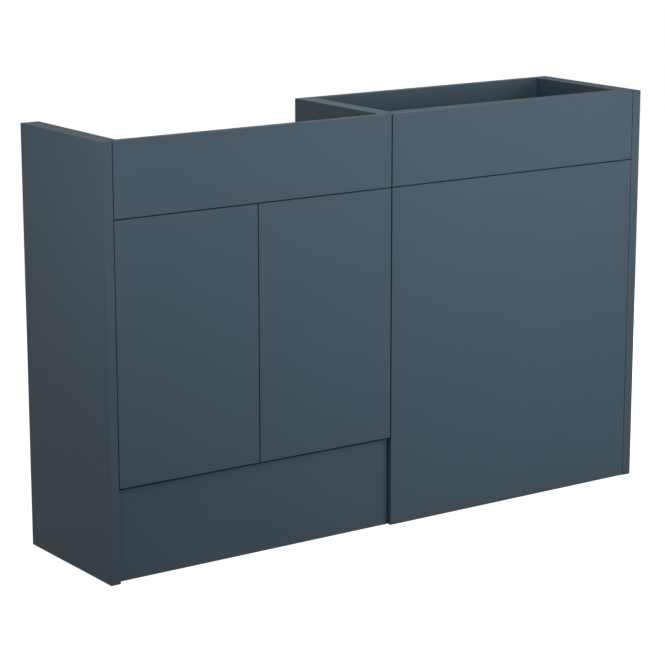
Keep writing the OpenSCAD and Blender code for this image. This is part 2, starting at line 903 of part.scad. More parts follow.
module hinge_cup_screws() {
    cup_screw_bars(front_t - cup_screw_len, front_t + flange_t + cup_head_t / 2, cup_screw_r);
    cup_screw_bars(front_t + flange_t, front_t + flange_t + cup_head_t, cup_head_r);
}

module hinge_cup_screws_left() {
    color(ZINC) at_side("left") at_hinges() hinge_cup_screws();
}

module hinge_cup_screws_right() {
    color(ZINC) at_side("right") at_hinges() hinge_cup_screws();
}

module hinge_links_left() {
    color(NICKEL) at_side("left") at_hinges() hinge_link();
}

module hinge_links_right() {
    color(NICKEL) at_side("right") at_hinges() hinge_link();
}

module hinge_arms() {
    color(NICKEL) for (side = ["left", "right"]) at_side(side) at_hinges() hinge_arm();
}

module hinge_arm_pins() {
    color(NICKEL) for (side = ["left", "right"]) at_side(side) at_hinges()
        bar_z(-hinge_half_h, hinge_half_h, arm_pin[0], arm_pin[1], pin_r);
}

module hinge_plates() {
    color(NICKEL) for (side = ["left", "right"]) at_side(side) at_hinges() hinge_plate();
}

module hinge_plate_screws() {
    wing_v = carcass_v + plate_back;
    color(ZINC) for (side = ["left", "right"]) at_side(side) at_hinges() {
        for (s = [-1, 1]) {
            z = s * plate_pitch / 2;
            head = board_t + plate_base_t;
            bar_x(board_t - plate_screw_len, head + wood_head_t / 2, wing_v, z, plate_screw_r);
            bar_x(head, head + wood_head_t, wing_v, z, plate_head_r);
        }
        for (v = arm_screw_vs)
            bar_x(arm_pin[0] + arm_half, arm_pin[0] + arm_half + arm_screw_t, v, 0, arm_screw_r);
    }
}

// Legs and feet
module leg_screw_bars(z0, z1, r) {
    for (p = leg_places)
        for (a = [45:90:315])
            bar_z(z0, z1, p[0] + leg_screw_circle * cos(a),
                p[1] + leg_screw_circle * sin(a), r);
}

module leg_sockets() {
    color(NYLON) difference() {
        for (p = leg_places) {
            bar_z(leg_top, base_z, p[0], p[1], socket_plate_r);
            bar_z(base_z - socket_h, leg_top + socket_plate_t / 2, p[0], p[1],
                leg_r + hole_slack + socket_wall);
        }
        for (p = leg_places)
            bar_z(base_z - socket_h - cut, leg_top, p[0], p[1], leg_r + hole_slack);
        leg_screw_bars(leg_top - cut, base_z + cut, screw_r + hole_slack);
    }
}

module leg_tubes() {
    color(NYLON) difference() {
        for (p = leg_places) bar_z(leg_bottom, leg_top, p[0], p[1], leg_r);
        for (p = leg_places)
            bar_z(leg_bottom - cut, leg_top + cut, p[0], p[1],
                foot_stud_r + foot_stud_clearance);
    }
}

module leg_screws() {
    color(ZINC) {
        leg_screw_bars(leg_top - wood_head_t / 2, base_z + leg_screw_len, screw_r);
        leg_screw_bars(leg_top - wood_head_t, leg_top, screw_head_r);
    }
}

module foot(x, y) {
    color(NYLON) {
        bar_z(0, foot_t, x, y, foot_r);
        bar_z(foot_t / 2, foot_stud_top, x, y, foot_stud_r);
    }
}

module foot_front_left() {
    foot(leg_xs[0], leg_front_y);
}

module foot_front_right() {
    foot(leg_xs[1], leg_front_y);
}

module foot_rear_left() {
    foot(leg_xs[0], leg_rear_y);
}

module foot_rear_right() {
    foot(leg_xs[1], leg_rear_y);
}

// Plinth
module clip_screw_bars(y0, y1, r) {
    for (x = leg_xs)
        for (s = [-1, 1]) bar_y(y0, y1, x, clip_z + s * clip_screw_z, r);
}

module plinth_board() {
    color(SLATE) difference() {
        board(x_basin + plinth_gap, x_joint - plinth_gap, plinth_y, plinth_back,
            floor_gap, plinth_top);
        clip_screw_bars(plinth_back - clip_screw_bite - end_slack, plinth_back + cut,
            screw_r + hole_slack);
    }
}

module plinth_clips() {
    jaw = leg_r + clip_gap;
    color(NYLON) difference() {
        for (x = leg_xs) {
            board(x - clip_plate / 2, x + clip_plate / 2, plinth_back, plinth_back + clip_plate_t,
                clip_z - clip_plate / 2, clip_z + clip_plate / 2);
            for (s = [-1, 1])
                board(min(s * jaw, s * (jaw + clip_jaw_t)) + x,
                    max(s * jaw, s * (jaw + clip_jaw_t)) + x,
                    plinth_back + clip_plate_t / 2, leg_front_y + clip_past,
                    clip_z - clip_h / 2, clip_z + clip_h / 2);
        }
        clip_screw_bars(plinth_back - cut, plinth_back + clip_plate_t + cut, screw_r + hole_slack);
    }
}

module plinth_clip_screws() {
    color(ZINC) {
        head = plinth_back + clip_plate_t;
        clip_screw_bars(plinth_back - clip_screw_bite, head + wood_head_t / 2, screw_r);
        clip_screw_bars(head, head + wood_head_t, screw_head_r);
    }
}

end_panel_left();
end_panel_right();
basin_side_left();
basin_side_right();
basin_base();
basin_fascia();
basin_fascia_rail();
basin_rear_rail_upper();
basin_rear_rail_lower();
basin_cams();
basin_cam_bolts();
basin_dowels();
fascia_packers();
fascia_screws();
wc_side_left();
wc_side_right();
wc_front_rail_top();
wc_front_rail_middle();
wc_front_rail_bottom();
wc_rear_rail_top();
wc_rear_rail_bottom();
wc_cams();
wc_cam_bolts();
wc_dowels();
wc_lower_panel();
wc_corner_blocks();
wc_corner_block_screws();
wc_access_panel();
access_panel_studs();
stud_sockets();
unit_joining_bolts();
unit_joining_sleeves();
end_panel_screws();
door_left();
door_right();
door_bumpers_left();
door_bumpers_right();
hinge_cups_left();
hinge_cups_right();
hinge_cup_pins_left();
hinge_cup_pins_right();
hinge_cup_screws_left();
hinge_cup_screws_right();
hinge_links_left();
hinge_links_right();
hinge_arms();
hinge_arm_pins();
hinge_plates();
hinge_plate_screws();
leg_sockets();
leg_tubes();
leg_screws();
foot_front_left();
foot_front_right();
foot_rear_left();
foot_rear_right();
plinth_board();
plinth_clips();
plinth_clip_screws();
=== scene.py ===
import json
from contextlib import contextmanager
from math import pi, radians, tau

import bmesh
import bpy
from mathutils import Matrix, Vector

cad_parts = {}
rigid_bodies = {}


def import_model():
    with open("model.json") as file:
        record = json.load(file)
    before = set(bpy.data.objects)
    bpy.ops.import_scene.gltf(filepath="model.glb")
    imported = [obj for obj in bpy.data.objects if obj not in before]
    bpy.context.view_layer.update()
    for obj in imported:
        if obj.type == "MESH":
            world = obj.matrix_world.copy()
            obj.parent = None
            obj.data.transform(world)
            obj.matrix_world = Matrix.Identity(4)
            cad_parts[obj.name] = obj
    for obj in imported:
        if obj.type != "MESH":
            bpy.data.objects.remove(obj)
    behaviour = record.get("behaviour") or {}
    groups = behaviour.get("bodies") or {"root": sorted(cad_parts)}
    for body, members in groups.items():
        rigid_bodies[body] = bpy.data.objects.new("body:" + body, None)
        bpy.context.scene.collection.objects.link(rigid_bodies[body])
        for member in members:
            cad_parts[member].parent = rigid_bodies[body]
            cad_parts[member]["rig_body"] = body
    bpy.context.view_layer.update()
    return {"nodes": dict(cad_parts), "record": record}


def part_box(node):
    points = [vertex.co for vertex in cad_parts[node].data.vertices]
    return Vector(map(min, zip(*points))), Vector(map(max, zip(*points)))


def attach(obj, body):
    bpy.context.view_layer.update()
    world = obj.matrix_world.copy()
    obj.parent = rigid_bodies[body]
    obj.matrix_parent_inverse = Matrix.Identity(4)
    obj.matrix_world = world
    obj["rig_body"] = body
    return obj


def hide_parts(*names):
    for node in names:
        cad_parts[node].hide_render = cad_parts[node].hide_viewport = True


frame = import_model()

# The run of furniture in metres, X to the right, Y to the back, Z up, floor at zero
MM = 0.001
UP, DOWN = Vector((0, 0, 1)), Vector((0, 0, -1))
BACK, FRONT = Vector((0, 1, 0)), Vector((0, -1, 0))
RIGHT, LEFT = Vector((1, 0, 0)), Vector((-1, 0, 0))
SIDES = ("left", "right")

# Camera
CAMERA_AT = (-2.618, -3.671, 1.395)
CAMERA_YAW = radians(35.16)
CAMERA_PITCH = radians(12.98)
CAMERA_LENS = 128.4
CAMERA_SENSOR = 36

# Boards: how round their edges are, and how little a banded face turns to the board's flat side
EDGE_ROUND = 0.7 * MM
BANDED = 0.5

# Bores: how much wider and deeper they are than what is in them, and how far a cutter reaches
SLACK = 0.1 * MM
END_SLACK = 1 * MM
BORE_REACH = 20 * MM

# Radii of the fittings, and how wide the rim of a hinge cup is
DOWEL_R = 4 * MM
CAM_BOLT_R = 3 * MM
CAM_R = 7.5 * MM
SCREW_R = 2 * MM
PLATE_SCREW_R = 2.5 * MM
CUP_SCREW_R = 1.7 * MM
SLEEVE_R = 4.9 * MM
SOCKET_R = 7 * MM
STUD_ROOT_R = 5 * MM
CUP_R = 17.4 * MM
CUP_RIM = 2 * MM

# How many sides the wide and small turned parts, their holes and the screw threads have
WIDE_SIDES = 48
SMALL_SIDES = 24
HOLE_SIDES = 20
THREAD_STEPS = 12

# Digits to which corners count as one, and to which solids are put in order
CORNER_DIGITS = 5
ORDER_DIGITS = 3


# ------------------------ reading the frame


class Solid:
    """One separate solid of a CAD node, with its corners, centre and size."""

    def __init__(self, points):
        self.points = points
        self.low = Vector([min(p[i] for p in points) for i in range(3)])
        self.high = Vector([max(p[i] for p in points) for i in range(3)])
        self.centre = (self.low + self.high) / 2
        self.size = self.high - self.low

    def long_axis(self):
        return max(range(3), key=lambda i: self.size[i])

    def end(self, axis, upper):
        """The middle of the end of a solid along one axis, and the direction that it faces."""
        place, out = self.centre.copy(), Vector((0, 0, 0))
        place[axis] = self.high[axis] if upper else self.low[axis]
        out[axis] = 1 if upper else -1
        return place, out

    def head(self):
        """Where the wide end of a long round fixing lies, and the direction that it faces."""
        axis = self.long_axis()
        near = self.size[axis] / 20

        def width(end):
            across = [i for i in range(3) if i != axis]
            rim = [p for p in self.points if abs(p[axis] - end) < near]
            return max(abs(p[i] - self.centre[i]) for p in rim for i in across)

        return self.end(axis, width(self.high[axis]) > width(self.low[axis]))


def solids(node):
    """The separate solids of a CAD node, from left to right and then upwards."""
    mesh = frame["nodes"][node].data
    keys = [tuple(round(c, CORNER_DIGITS) for c in v.co) for v in mesh.vertices]
    leader = {key: key for key in keys}

    def order(solid):
        return round(solid.centre.x, ORDER_DIGITS), round(solid.centre.z, ORDER_DIGITS), solid.centre.y

    def find(key):
        while leader[key] != key:
            leader[key] = leader[leader[key]]
            key = leader[key]
        return key

    for polygon in mesh.polygons:
        first = find(keys[polygon.vertices[0]])
        for i in polygon.vertices[1:]:
            leader[find(keys[i])] = first
    groups = {}
    for key in leader:
        groups.setdefault(find(key), []).append(key)
    return sorted([Solid(points) for points in groups.values()], key=order)


# ------------------------ modelling tools


def pick(*pieces):
    """Makes these pieces the selection, the first of them active."""
    bpy.ops.object.select_all(action="DESELECT")
    for piece in pieces:
        piece.select_set(True)
    bpy.context.view_layer.objects.active = pieces[0]


def named(piece, name):
    piece.name = piece.data.name = name
    return piece


def settle(name):
    """Names the new primitive and puts its place into its mesh."""
    piece = named(bpy.context.active_object, name)
    pick(piece)
    bpy.ops.object.transform_apply(location=True, rotation=True, scale=True)
    return piece


def block(name, low, high):
    low, high = Vector(low), Vector(high)
    bpy.ops.mesh.primitive_cube_add(size=1, location=(low + high) / 2, scale=high - low)
    return settle(name)


def rod(name, start, end, radius, sides=32):
    start, end = Vector(start), Vector(end)
    axis = end - start
    turn = axis.to_track_quat("Z", "Y").to_euler()
    bpy.ops.mesh.primitive_cylinder_add(
        vertices=sides, radius=radius, depth=axis.length, location=(start + end) / 2, rotation=turn
    )
    return settle(name)


def through(place, way, reach, radius, sides=32):
    """A rod along one direction that reaches equally far to both sides of a place."""
    return rod("through", place - way * reach, place + way * reach, radius, sides)


@contextmanager
def editing(piece, kind="FACE", selection="DESELECT"):
    """Edit mode on one piece, with nothing selected at the start, or with everything."""
    pick(piece)
    bpy.ops.object.mode_set(mode="EDIT")
    bpy.ops.mesh.select_mode(type=kind)
    bpy.ops.mesh.select_all(action=selection)
    yield
    bpy.ops.object.mode_set(mode="OBJECT")


def choose(piece, kind, test):
    """Selects the faces or the edges that pass the test."""
    shell = bmesh.from_edit_mesh(piece.data)
    for part in getattr(shell, kind):
        part.select_set(bool(test(part)))
    bmesh.update_edit_mesh(piece.data)


def outward(piece):
    with editing(piece, selection="SELECT"):
        bpy.ops.mesh.normals_make_consistent(inside=False)
    return piece


def turned(name, profile, sides=32):
    """A round piece on the Z axis: a disc extruded and scaled through (radius, height) pairs."""
    radius, height = profile[0]
    bpy.ops.mesh.primitive_circle_add(
        vertices=sides, radius=radius, fill_type="NGON", location=(0, 0, height)
    )
    piece = settle(name)
    with editing(piece, selection="SELECT"):
        for next_radius, next_height in profile[1:]:
            share = next_radius / radius
            bpy.ops.mesh.extrude_region()
            bpy.ops.transform.translate(value=(0, 0, next_height - height))
            bpy.ops.transform.resize(value=(share, share, 1), center_override=(0, 0, next_height))
            radius, height = next_radius, next_height
    return outward(piece)


def chamfered_rod(name, radius, half, chamfer, sides=32):
    """A rod on the Z axis, half its length to each side, its ends chamfered."""
    end = radius - chamfer
    profile = [(end, -half), (radius, chamfer - half), (radius, half - chamfer), (end, half)]
    return turned(name, profile, sides)


def apply(piece, modifier):
    pick(piece)
    bpy.ops.object.modifier_apply(modifier=modifier.name)
    return piece


def rounded(piece, width, segments=3, angle=30):
    """Bevels every edge that is sharper than the angle."""
    modifier = piece.modifiers.new("round", "BEVEL")
    modifier.width = width
    modifier.segments = segments
    modifier.limit_method = "ANGLE"
    modifier.angle_limit = radians(angle)
    return apply(piece, modifier)


def rounded_edges(piece, direction, width, segments=6, near=None):
    """Bevels the edges along one direction, all of them or those whose middle passes a test."""

    def wanted(edge):
        a, b = (v.co for v in edge.verts)
        along = abs((b - a).normalized().dot(direction)) > 0.99
        return along and (near is None or near((a + b) / 2))

    with editing(piece, "EDGE"):
        choose(piece, "edges", wanted)
        bpy.ops.mesh.bevel(offset=width, segments=segments, affect="EDGES")
    return piece


def joined(*pieces):
    if len(pieces) > 1:
        pick(*pieces)
        bpy.ops.object.join()
    return pieces[0]


def carve(piece, cutters, lining=None, operation="DIFFERENCE"):
    """Cuts the cutters out of a piece, or unites them with it. The lining finishes what is cut."""
    cutter = joined(*cutters)
    if lining:
        cutter.data.materials.append(lining)
    modifier = piece.modifiers.new("carve", "BOOLEAN")
    modifier.operation = operation
    modifier.object = cutter
    modifier.solver = "EXACT"
    modifier.material_mode = "TRANSFER" if lining else "INDEX"
    apply(piece, modifier)
    bpy.data.objects.remove(cutter)
    return piece


def smooth(piece, angle=35):
    """Smooth round faces beside truly flat ones."""
    pick(piece)
    bpy.ops.object.shade_smooth_by_angle(angle=radians(angle))
    modifier = piece.modifiers.new("flat faces", "WEIGHTED_NORMAL")
    modifier.keep_sharp = True
    return apply(piece, modifier)


def facing(place, out, side=None):
    """A move that takes the Z axis to the direction out, and X to side, at a place."""
    z = Vector(out).normalized()
    if side is None:
        side = RIGHT if abs(z.z) > 0.5 else UP
    x = Vector(side)
    move = Matrix((x, z.cross(x), z)).transposed().to_4x4()
    move.translation = place
    return move


def lifted(height):
    return Matrix.Translation((0, 0, height))


def moved(piece, move):
    pick(piece)
    piece.matrix_world = move @ piece.matrix_world
    bpy.ops.object.transform_apply(location=True, rotation=True, scale=True)
    return piece


def copied(model, move):
    pick(model)
    bpy.ops.object.duplicate()
    return moved(bpy.context.active_object, move)


def everywhere(name, model, moves):
    """The model copied to each place, as one piece, with the model itself removed."""
    piece = joined(*[copied(model, move) for move in moves])
    bpy.data.objects.remove(model)
    return named(piece, name)


def stands_for(piece, node, slot):
    """Gives a piece its finish and lets it take the place of a CAD node on that node's body."""
    if slot in FITTING_FINISHES:
        piece.data.materials.append(FITTING_FINISHES[slot])
    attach(piece, frame["nodes"][node]["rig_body"])
    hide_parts(node)
    return piece


def placed(name, node, slot, model, moves):
    """The model copied to each place, in place of a CAD node."""
    return stands_for(everywhere(name, model, moves), node, slot)


# ------------------------ finishes

# The part of a pattern's range that its two tones spread over
PATTERN_LOW, PATTERN_HIGH = 0.3, 0.7


def filled(node, **values):
    """Sets a shader node's inputs by name."""
    for socket, value in values.items():
        node.inputs[socket.replace("_", " ")].default_value = value
    return node


class Finish:
    """A material made of the shader's own values and of patterns on object coordinates."""

    def __init__(self, name, **values):
        self.material = bpy.data.materials.new(name)
        self.material.use_nodes = True
        self.nodes = self.material.node_tree.nodes
        self.links = self.material.node_tree.links
        self.shader = filled(self.nodes["Principled BSDF"], **values)
        self.place = self.nodes.new("ShaderNodeTexCoord").outputs["Object"]

    def clouds(self, scale, detail=3, stretch=(1, 1, 1)):
        noise = filled(self.nodes.new("ShaderNodeTexNoise"), Scale=scale, Detail=detail)
        mapping = filled(self.nodes.new("ShaderNodeMapping"), Scale=stretch)
        self.links.new(self.place, mapping.inputs["Vector"])
        self.links.new(mapping.outputs["Vector"], noise.inputs["Vector"])
        return noise.outputs["Fac"]

    def cells(self, scale):
        voronoi = filled(self.nodes.new("ShaderNodeTexVoronoi"), Scale=scale)
        self.links.new(self.place, voronoi.inputs["Vector"])
        return voronoi.outputs["Color"]

    def colours(self, source, first, second):
        ramp = self.nodes.new("ShaderNodeValToRGB")
        stops = ramp.color_ramp.elements
        stops[0].position, stops[1].position = PATTERN_LOW, PATTERN_HIGH
        stops[0].color, stops[1].color = (*first, 1), (*second, 1)
        self.links.new(source, ramp.inputs["Fac"])
        self.links.new(ramp.outputs["Color"], self.shader.inputs["Base Color"])

    def roughness(self, source, low, high):
        spread = filled(
            self.nodes.new("ShaderNodeMapRange"),
            From_Min=PATTERN_LOW, From_Max=PATTERN_HIGH, To_Min=low, To_Max=high,
        )
        self.links.new(source, spread.inputs["Value"])
        self.links.new(spread.outputs["Result"], self.shader.inputs["Roughness"])

    def relief(self, source, depth, strength=1.0):
        """Adds a bump on top of the relief that is there already."""
        bump = filled(self.nodes.new("ShaderNodeBump"), Distance=depth, Strength=strength)
        self.links.new(source, bump.inputs["Height"])
        socket = self.shader.inputs["Normal"]
        if socket.links:
            self.links.new(socket.links[0].from_socket, bump.inputs["Normal"])
        self.links.new(bump.outputs["Normal"], socket)


def slate_lacquer(name, tones, gloss):
    """Matt slate lacquer, faintly clouded, with the fine orange peel of sprayed board."""
    finish = Finish(name, Specular_IOR_Level=0.12)
    finish.colours(finish.clouds(5, detail=2), *tones)
    finish.roughness(finish.clouds(60, detail=4), *gloss)
    finish.relief(finish.clouds(260, detail=2), 0.03 * MM, 0.5)
    finish.relief(finish.clouds(2200, detail=2), 0.008 * MM, 0.6)
    return finish.material


def chipboard():
    """Pressed wood chips, as a drill leaves them inside a bore."""
    finish = Finish("raw chipboard", Roughness=0.85)
    finish.colours(finish.cells(700), (0.34, 0.23, 0.13), (0.56, 0.42, 0.27))
    finish.relief(finish.cells(900), 0.15 * MM)
    return finish.material


def bright_zinc():
    """Zinc plate with its faint cool bloom."""
    finish = Finish("bright zinc", Metallic=1.0)
    finish.colours(finish.clouds(300, detail=3), (0.50, 0.51, 0.53), (0.62, 0.61, 0.59))
    finish.roughness(finish.clouds(900, detail=3), 0.31, 0.39)
    finish.relief(finish.clouds(1800), 0.01 * MM, 0.4)
    return finish.material


def nickel_plate():
    """Nickel-plated pressed steel, drawn lines along it."""
    finish = Finish("nickel plate", Metallic=1.0)
    finish.colours(finish.clouds(200, detail=2), (0.60, 0.58, 0.54), (0.68, 0.66, 0.62))
    finish.roughness(finish.clouds(700, detail=2, stretch=(1, 0.15, 1)), 0.23, 0.27)
    finish.relief(finish.clouds(1500, stretch=(1, 0.1, 1)), 0.006 * MM, 0.4)
    return finish.material


def beech():
    """Beech turned into dowels, its grain along them."""
    finish = Finish("beech", Roughness=0.6)
    grain = finish.clouds(900, detail=4, stretch=(0.06, 1, 1))
    finish.colours(grain, (0.50, 0.32, 0.17), (0.66, 0.47, 0.28))
    finish.relief(finish.clouds(1400, stretch=(0.05, 1, 1)), 0.05 * MM)
    return finish.material


def black_nylon():
    """Moulded black nylon with a spark-eroded grain."""
    finish = Finish("black nylon")
    finish.colours(finish.clouds(40, detail=2), (0.012, 0.012, 0.014), (0.020, 0.020, 0.022))
    finish.roughness(finish.clouds(500, detail=3), 0.38, 0.55)
    finish.relief(finish.clouds(2600, detail=2), 0.02 * MM, 0.7)
    return finish.material


def clear_rubber():
    """Soft clear polyurethane, slightly hazy."""
    finish = Finish("clear rubber", Transmission_Weight=0.9, IOR=1.49)
    finish.colours(finish.clouds(300, detail=2), (0.80, 0.83, 0.84), (0.88, 0.90, 0.91))
    finish.roughness(finish.clouds(800), 0.08, 0.2)
    finish.relief(finish.clouds(1500), 0.01 * MM, 0.3)
    return finish.material


SLATE_FACE = slate_lacquer("slate lacquer", ((0.067, 0.103, 0.135), (0.070, 0.107, 0.140)), (0.53, 0.59))
# The edge band is the face's lacquer a touch lighter and greyer: painted light, for the top edges that the
# light from above and the backdrop's reflection brighten.
SLATE_BAND_PAINTED_LIGHTER = slate_lacquer("slate edge band", ((0.070, 0.106, 0.137), (0.073, 0.110, 0.142)), (0.67, 0.71))
CHIPBOARD = chipboard()
FITTING_FINISHES = {
    "zinc_fixing": bright_zinc(),
    "nickel_steel": nickel_plate(),
    "beech_dowel": beech(),
    "black_nylon": black_nylon(),
    "clear_bumper": clear_rubber(),
}


# ------------------------ boards


def drilled(piece, low, high, fixings, radius, axis=None):
    """Bores a board for each fixing of a node that reaches into it."""
    cutters = []
    for solid in solids(fixings):
        if not all(solid.low[i] < high[i] - SLACK and solid.high[i] > low[i] + SLACK for i in range(3)):
            continue
        way = solid.long_axis() if axis is None else axis
        start, end = solid.centre.copy(), solid.centre.copy()
        start[way] = solid.low[way] - END_SLACK
        end[way] = solid.high[way] + END_SLACK
        cutters.append(rod("bore", start, end, radius + SLACK))
    return carve(piece, cutters, CHIPBOARD) if cutters else piece


def wall_holes(fixing):
    """Cutters for the two holes of a rear rail, where the record has its wall fixing."""
    mount = next(m for m in frame["record"]["mounts"] if m["name"] == fixing)
    apart, radius = mount["dims"]["spacing_x_mm"] * MM, mount["dims"]["hole_r_mm"] * MM
    middles = [Vector(mount["pos_m"]) + RIGHT * side * apart / 2 for side in (-1, 1)]
    return [through(middle, BACK, BORE_REACH, radius) for middle in middles]


def cup_axis(cup):
    """The middle of a hinge cup. Its wings reach out towards the screws, away from the door's edge."""
    on_left = cup.centre.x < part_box("door_right")[0].x
    reach = CUP_R + CUP_RIM
    x = cup.low.x + reach if on_left else cup.high.x - reach
    return Vector((x, cup.centre.y, cup.centre.z))


def cup_bores(side):
    """Cutters for a door's two hinge cups, from its back face to just below them."""
    cutters = []
    for cup in solids(f"hinge_cups_{side}"):
        middle, half = cup_axis(cup), cup.size.y / 2
        below = middle + FRONT * (half + SLACK)
        cutters.append(rod("cup_bore", below, middle + BACK * half, CUP_R + SLACK, WIDE_SIDES))
    return cutters


def board(name, node, bores=(), cutters=()):
    """A board with lacquered faces, banded edges whose lighter tone is painted light, and the bores for
    its fixings.
    """
    low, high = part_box(node)
    piece = rounded(block(name, low, high), EDGE_ROUND)
    piece.data.materials.append(SLATE_FACE)
    piece.data.materials.append(SLATE_BAND_PAINTED_LIGHTER)
    thin = min(range(3), key=lambda i: high[i] - low[i])
    for face in piece.data.polygons:
        face.material_index = int(abs(face.normal[thin]) < BANDED)
    for fixings, radius, *along in bores:
        axis = thin if along else None
        drilled(piece, low, high, fixings, radius, axis)
    if cutters:
        carve(piece, cutters, CHIPBOARD)
    return stands_for(smooth(piece), node, "slate_board")


BASIN_JOINTS = [("basin_dowels", DOWEL_R), ("basin_cam_bolts", CAM_BOLT_R)]
WC_JOINTS = [("wc_dowels", DOWEL_R), ("wc_cam_bolts", CAM_BOLT_R)]
BASIN_RAIL = [*BASIN_JOINTS, ("basin_cams", CAM_R, "across")]
WC_RAIL = [*WC_JOINTS, ("wc_cams", CAM_R, "across")]
HINGE_PLATES = ("hinge_plate_screws", PLATE_SCREW_R)
CORNER_SCREWS = ("wc_corner_block_screws", SCREW_R)


def end_panels():
    for side in SIDES:
        board(f"{side}_end_panel", f"end_panel_{side}", [("end_panel_screws", SCREW_R)])


def basin_carcass():
    board(
        "basin_left_side", "basin_side_left",
        [*BASIN_JOINTS, HINGE_PLATES, ("end_panel_screws", SCREW_R)],
    )
    board(
        "basin_right_side", "basin_side_right",
        [*BASIN_JOINTS, HINGE_PLATES, ("unit_joining_sleeves", SLEEVE_R)],
    )
    board("basin_floor", "basin_base", [*BASIN_RAIL, ("leg_screws", SCREW_R)])
    board("fascia_support_rail", "basin_fascia_rail", [*BASIN_RAIL, ("fascia_screws", SCREW_R)])
    holes = wall_holes("basin_wall_fixing")
    board("basin_upper_back_rail", "basin_rear_rail_upper", BASIN_RAIL, holes)
    board("basin_lower_back_rail", "basin_rear_rail_lower", BASIN_RAIL)


def wc_carcass():
    board(
        "toilet_left_side", "wc_side_left",
        [*WC_JOINTS, CORNER_SCREWS, ("unit_joining_sleeves", SLEEVE_R)],
    )
    board(
        "toilet_right_side", "wc_side_right",
        [*WC_JOINTS, CORNER_SCREWS, ("end_panel_screws", SCREW_R)],
    )
    sockets = ("stud_sockets", SOCKET_R)
    board("toilet_top_front_rail", "wc_front_rail_top", [*WC_RAIL, sockets])
    board("toilet_middle_front_rail", "wc_front_rail_middle", [*WC_RAIL, sockets])
    board("toilet_bottom_front_rail", "wc_front_rail_bottom", WC_RAIL)
    board("toilet_top_back_rail", "wc_rear_rail_top", WC_RAIL, wall_holes("wc_wall_fixing"))
    board("toilet_bottom_back_rail", "wc_rear_rail_bottom", WC_RAIL)


def fronts():
    board("fascia", "basin_fascia", [("fascia_screws", SCREW_R)])
    board("access_panel", "wc_access_panel", [("access_panel_studs", STUD_ROOT_R)])
    board("lower_panel", "wc_lower_panel", [CORNER_SCREWS])
    board("plinth", "plinth_board", [("plinth_clip_screws", SCREW_R)])
    for side in SIDES:
        screw_bores = [(f"hinge_cup_screws_{side}", CUP_SCREW_R)]
        board(f"{side}_door", f"door_{side}", screw_bores, cup_bores(side))


# ------------------------ fixings


def cross_recess(piece, top, arm, depth):
    """A cross for the screwdriver, cut into the head of a fixing on the Z axis."""
    width = arm / 3.2
    for x, y in ((arm, width), (width, arm)):
        carve(piece, [block("bar", (-x, -y, top - depth), (x, y, top + depth))])
    return piece


def thread(crest, pitch, turns, bottom, steps):
    """A triangular ridge wound round the Z axis, closed at both ends."""
    ridge_r = pitch / 2
    bpy.ops.mesh.primitive_circle_add(
        vertices=3, radius=ridge_r, location=(crest - ridge_r, 0, bottom), rotation=(pi / 2, pi / 2, 0)
    )
    piece = settle("thread")
    modifier = piece.modifiers.new("wind", "SCREW")
    modifier.axis = "Z"
    modifier.angle = tau
    modifier.screw_offset = pitch
    modifier.iterations = turns
    modifier.steps = modifier.render_steps = steps
    apply(piece, modifier)
    with editing(piece, "EDGE", "SELECT"):
        bpy.ops.mesh.fill_holes(sides=4)
    return outward(piece)


def screw(length, shank, head, rise, pitch=1.8 * MM, pointed=True):
    """A pan-head screw on the Z axis, the seat of its head at zero."""
    core = 0.68 * shank
    point = 1.8 * shank if pointed else 0.3 * shank
    end = 0.12 * shank if pointed else 0.5 * shank
    body = turned(
        "screw",
        [
            (end, -length), (core, point - length), (core, 0), (0.94 * head, 0), (head, 0.12 * rise),
            (head, 0.45 * rise), (0.9 * head, 0.78 * rise), (0.66 * head, 0.95 * rise), (0.4 * head, rise),
        ],
        SMALL_SIDES,
    )
    cross_recess(body, rise, 0.5 * head, 0.55 * rise)
    turns = int((length - point) / pitch) - 1
    winding = thread(shank, pitch, turns, point - length + 0.2 * pitch, THREAD_STEPS)
    return smooth(joined(body, winding))


def fastened(name, node, model):
    """Copies a zinc fixing to all solids of its node, with its head at their wide ends."""
    placed(name, node, "zinc_fixing", model, [facing(*solid.head()) for solid in solids(node)])


def wood_screws(name, node, shank, head, rise):
    solid = solids(node)[0]
    length = solid.size[solid.long_axis()]
    fastened(name, node, moved(screw(length - rise, shank, head, rise), lifted(-rise)))


def screws():
    for name, node in (
        ("fascia_fixing_screws", "fascia_screws"),
        ("corner_block_fixing_screws", "wc_corner_block_screws"),
        ("end_panel_fixing_screws", "end_panel_screws"),
        ("leg_socket_screws", "leg_screws"),
        ("plinth_clip_fixing_screws", "plinth_clip_screws"),
    ):
        wood_screws(name, node, SCREW_R, 3.8 * MM, 2 * MM)
    for side in SIDES:
        node = f"hinge_cup_screws_{side}"
        wood_screws(f"{side}_cup_screws", node, CUP_SCREW_R, 3.3 * MM, 0.9 * MM)


def cam():
    """A cast cam on the Z axis, its face at zero, its mouth towards X."""
    depth, floor, mouth = 12.5 * MM, 5.5 * MM, 3.3 * MM
    body = turned(
        "cam",
        [
            (CAM_R - 0.4 * MM, -depth), (CAM_R, 0.4 * MM - depth), (CAM_R, -0.4 * MM),
            (CAM_R - 0.4 * MM, 0), (CAM_R - 1.3 * MM, 0), (CAM_R - 1.5 * MM, -0.5 * MM),
        ],
    )
    carve(body, [block("mouth", (-4 * MM, -mouth, -depth - MM), (CAM_R + MM, mouth, -floor))])
    cross_recess(body, -0.5 * MM, 3.4 * MM, 2.4 * MM)
    notch = block("notch", (CAM_R - 1.9 * MM, -0.6 * MM, -MM), (CAM_R + MM, 0.6 * MM, MM))
    return smooth(carve(body, [notch]))


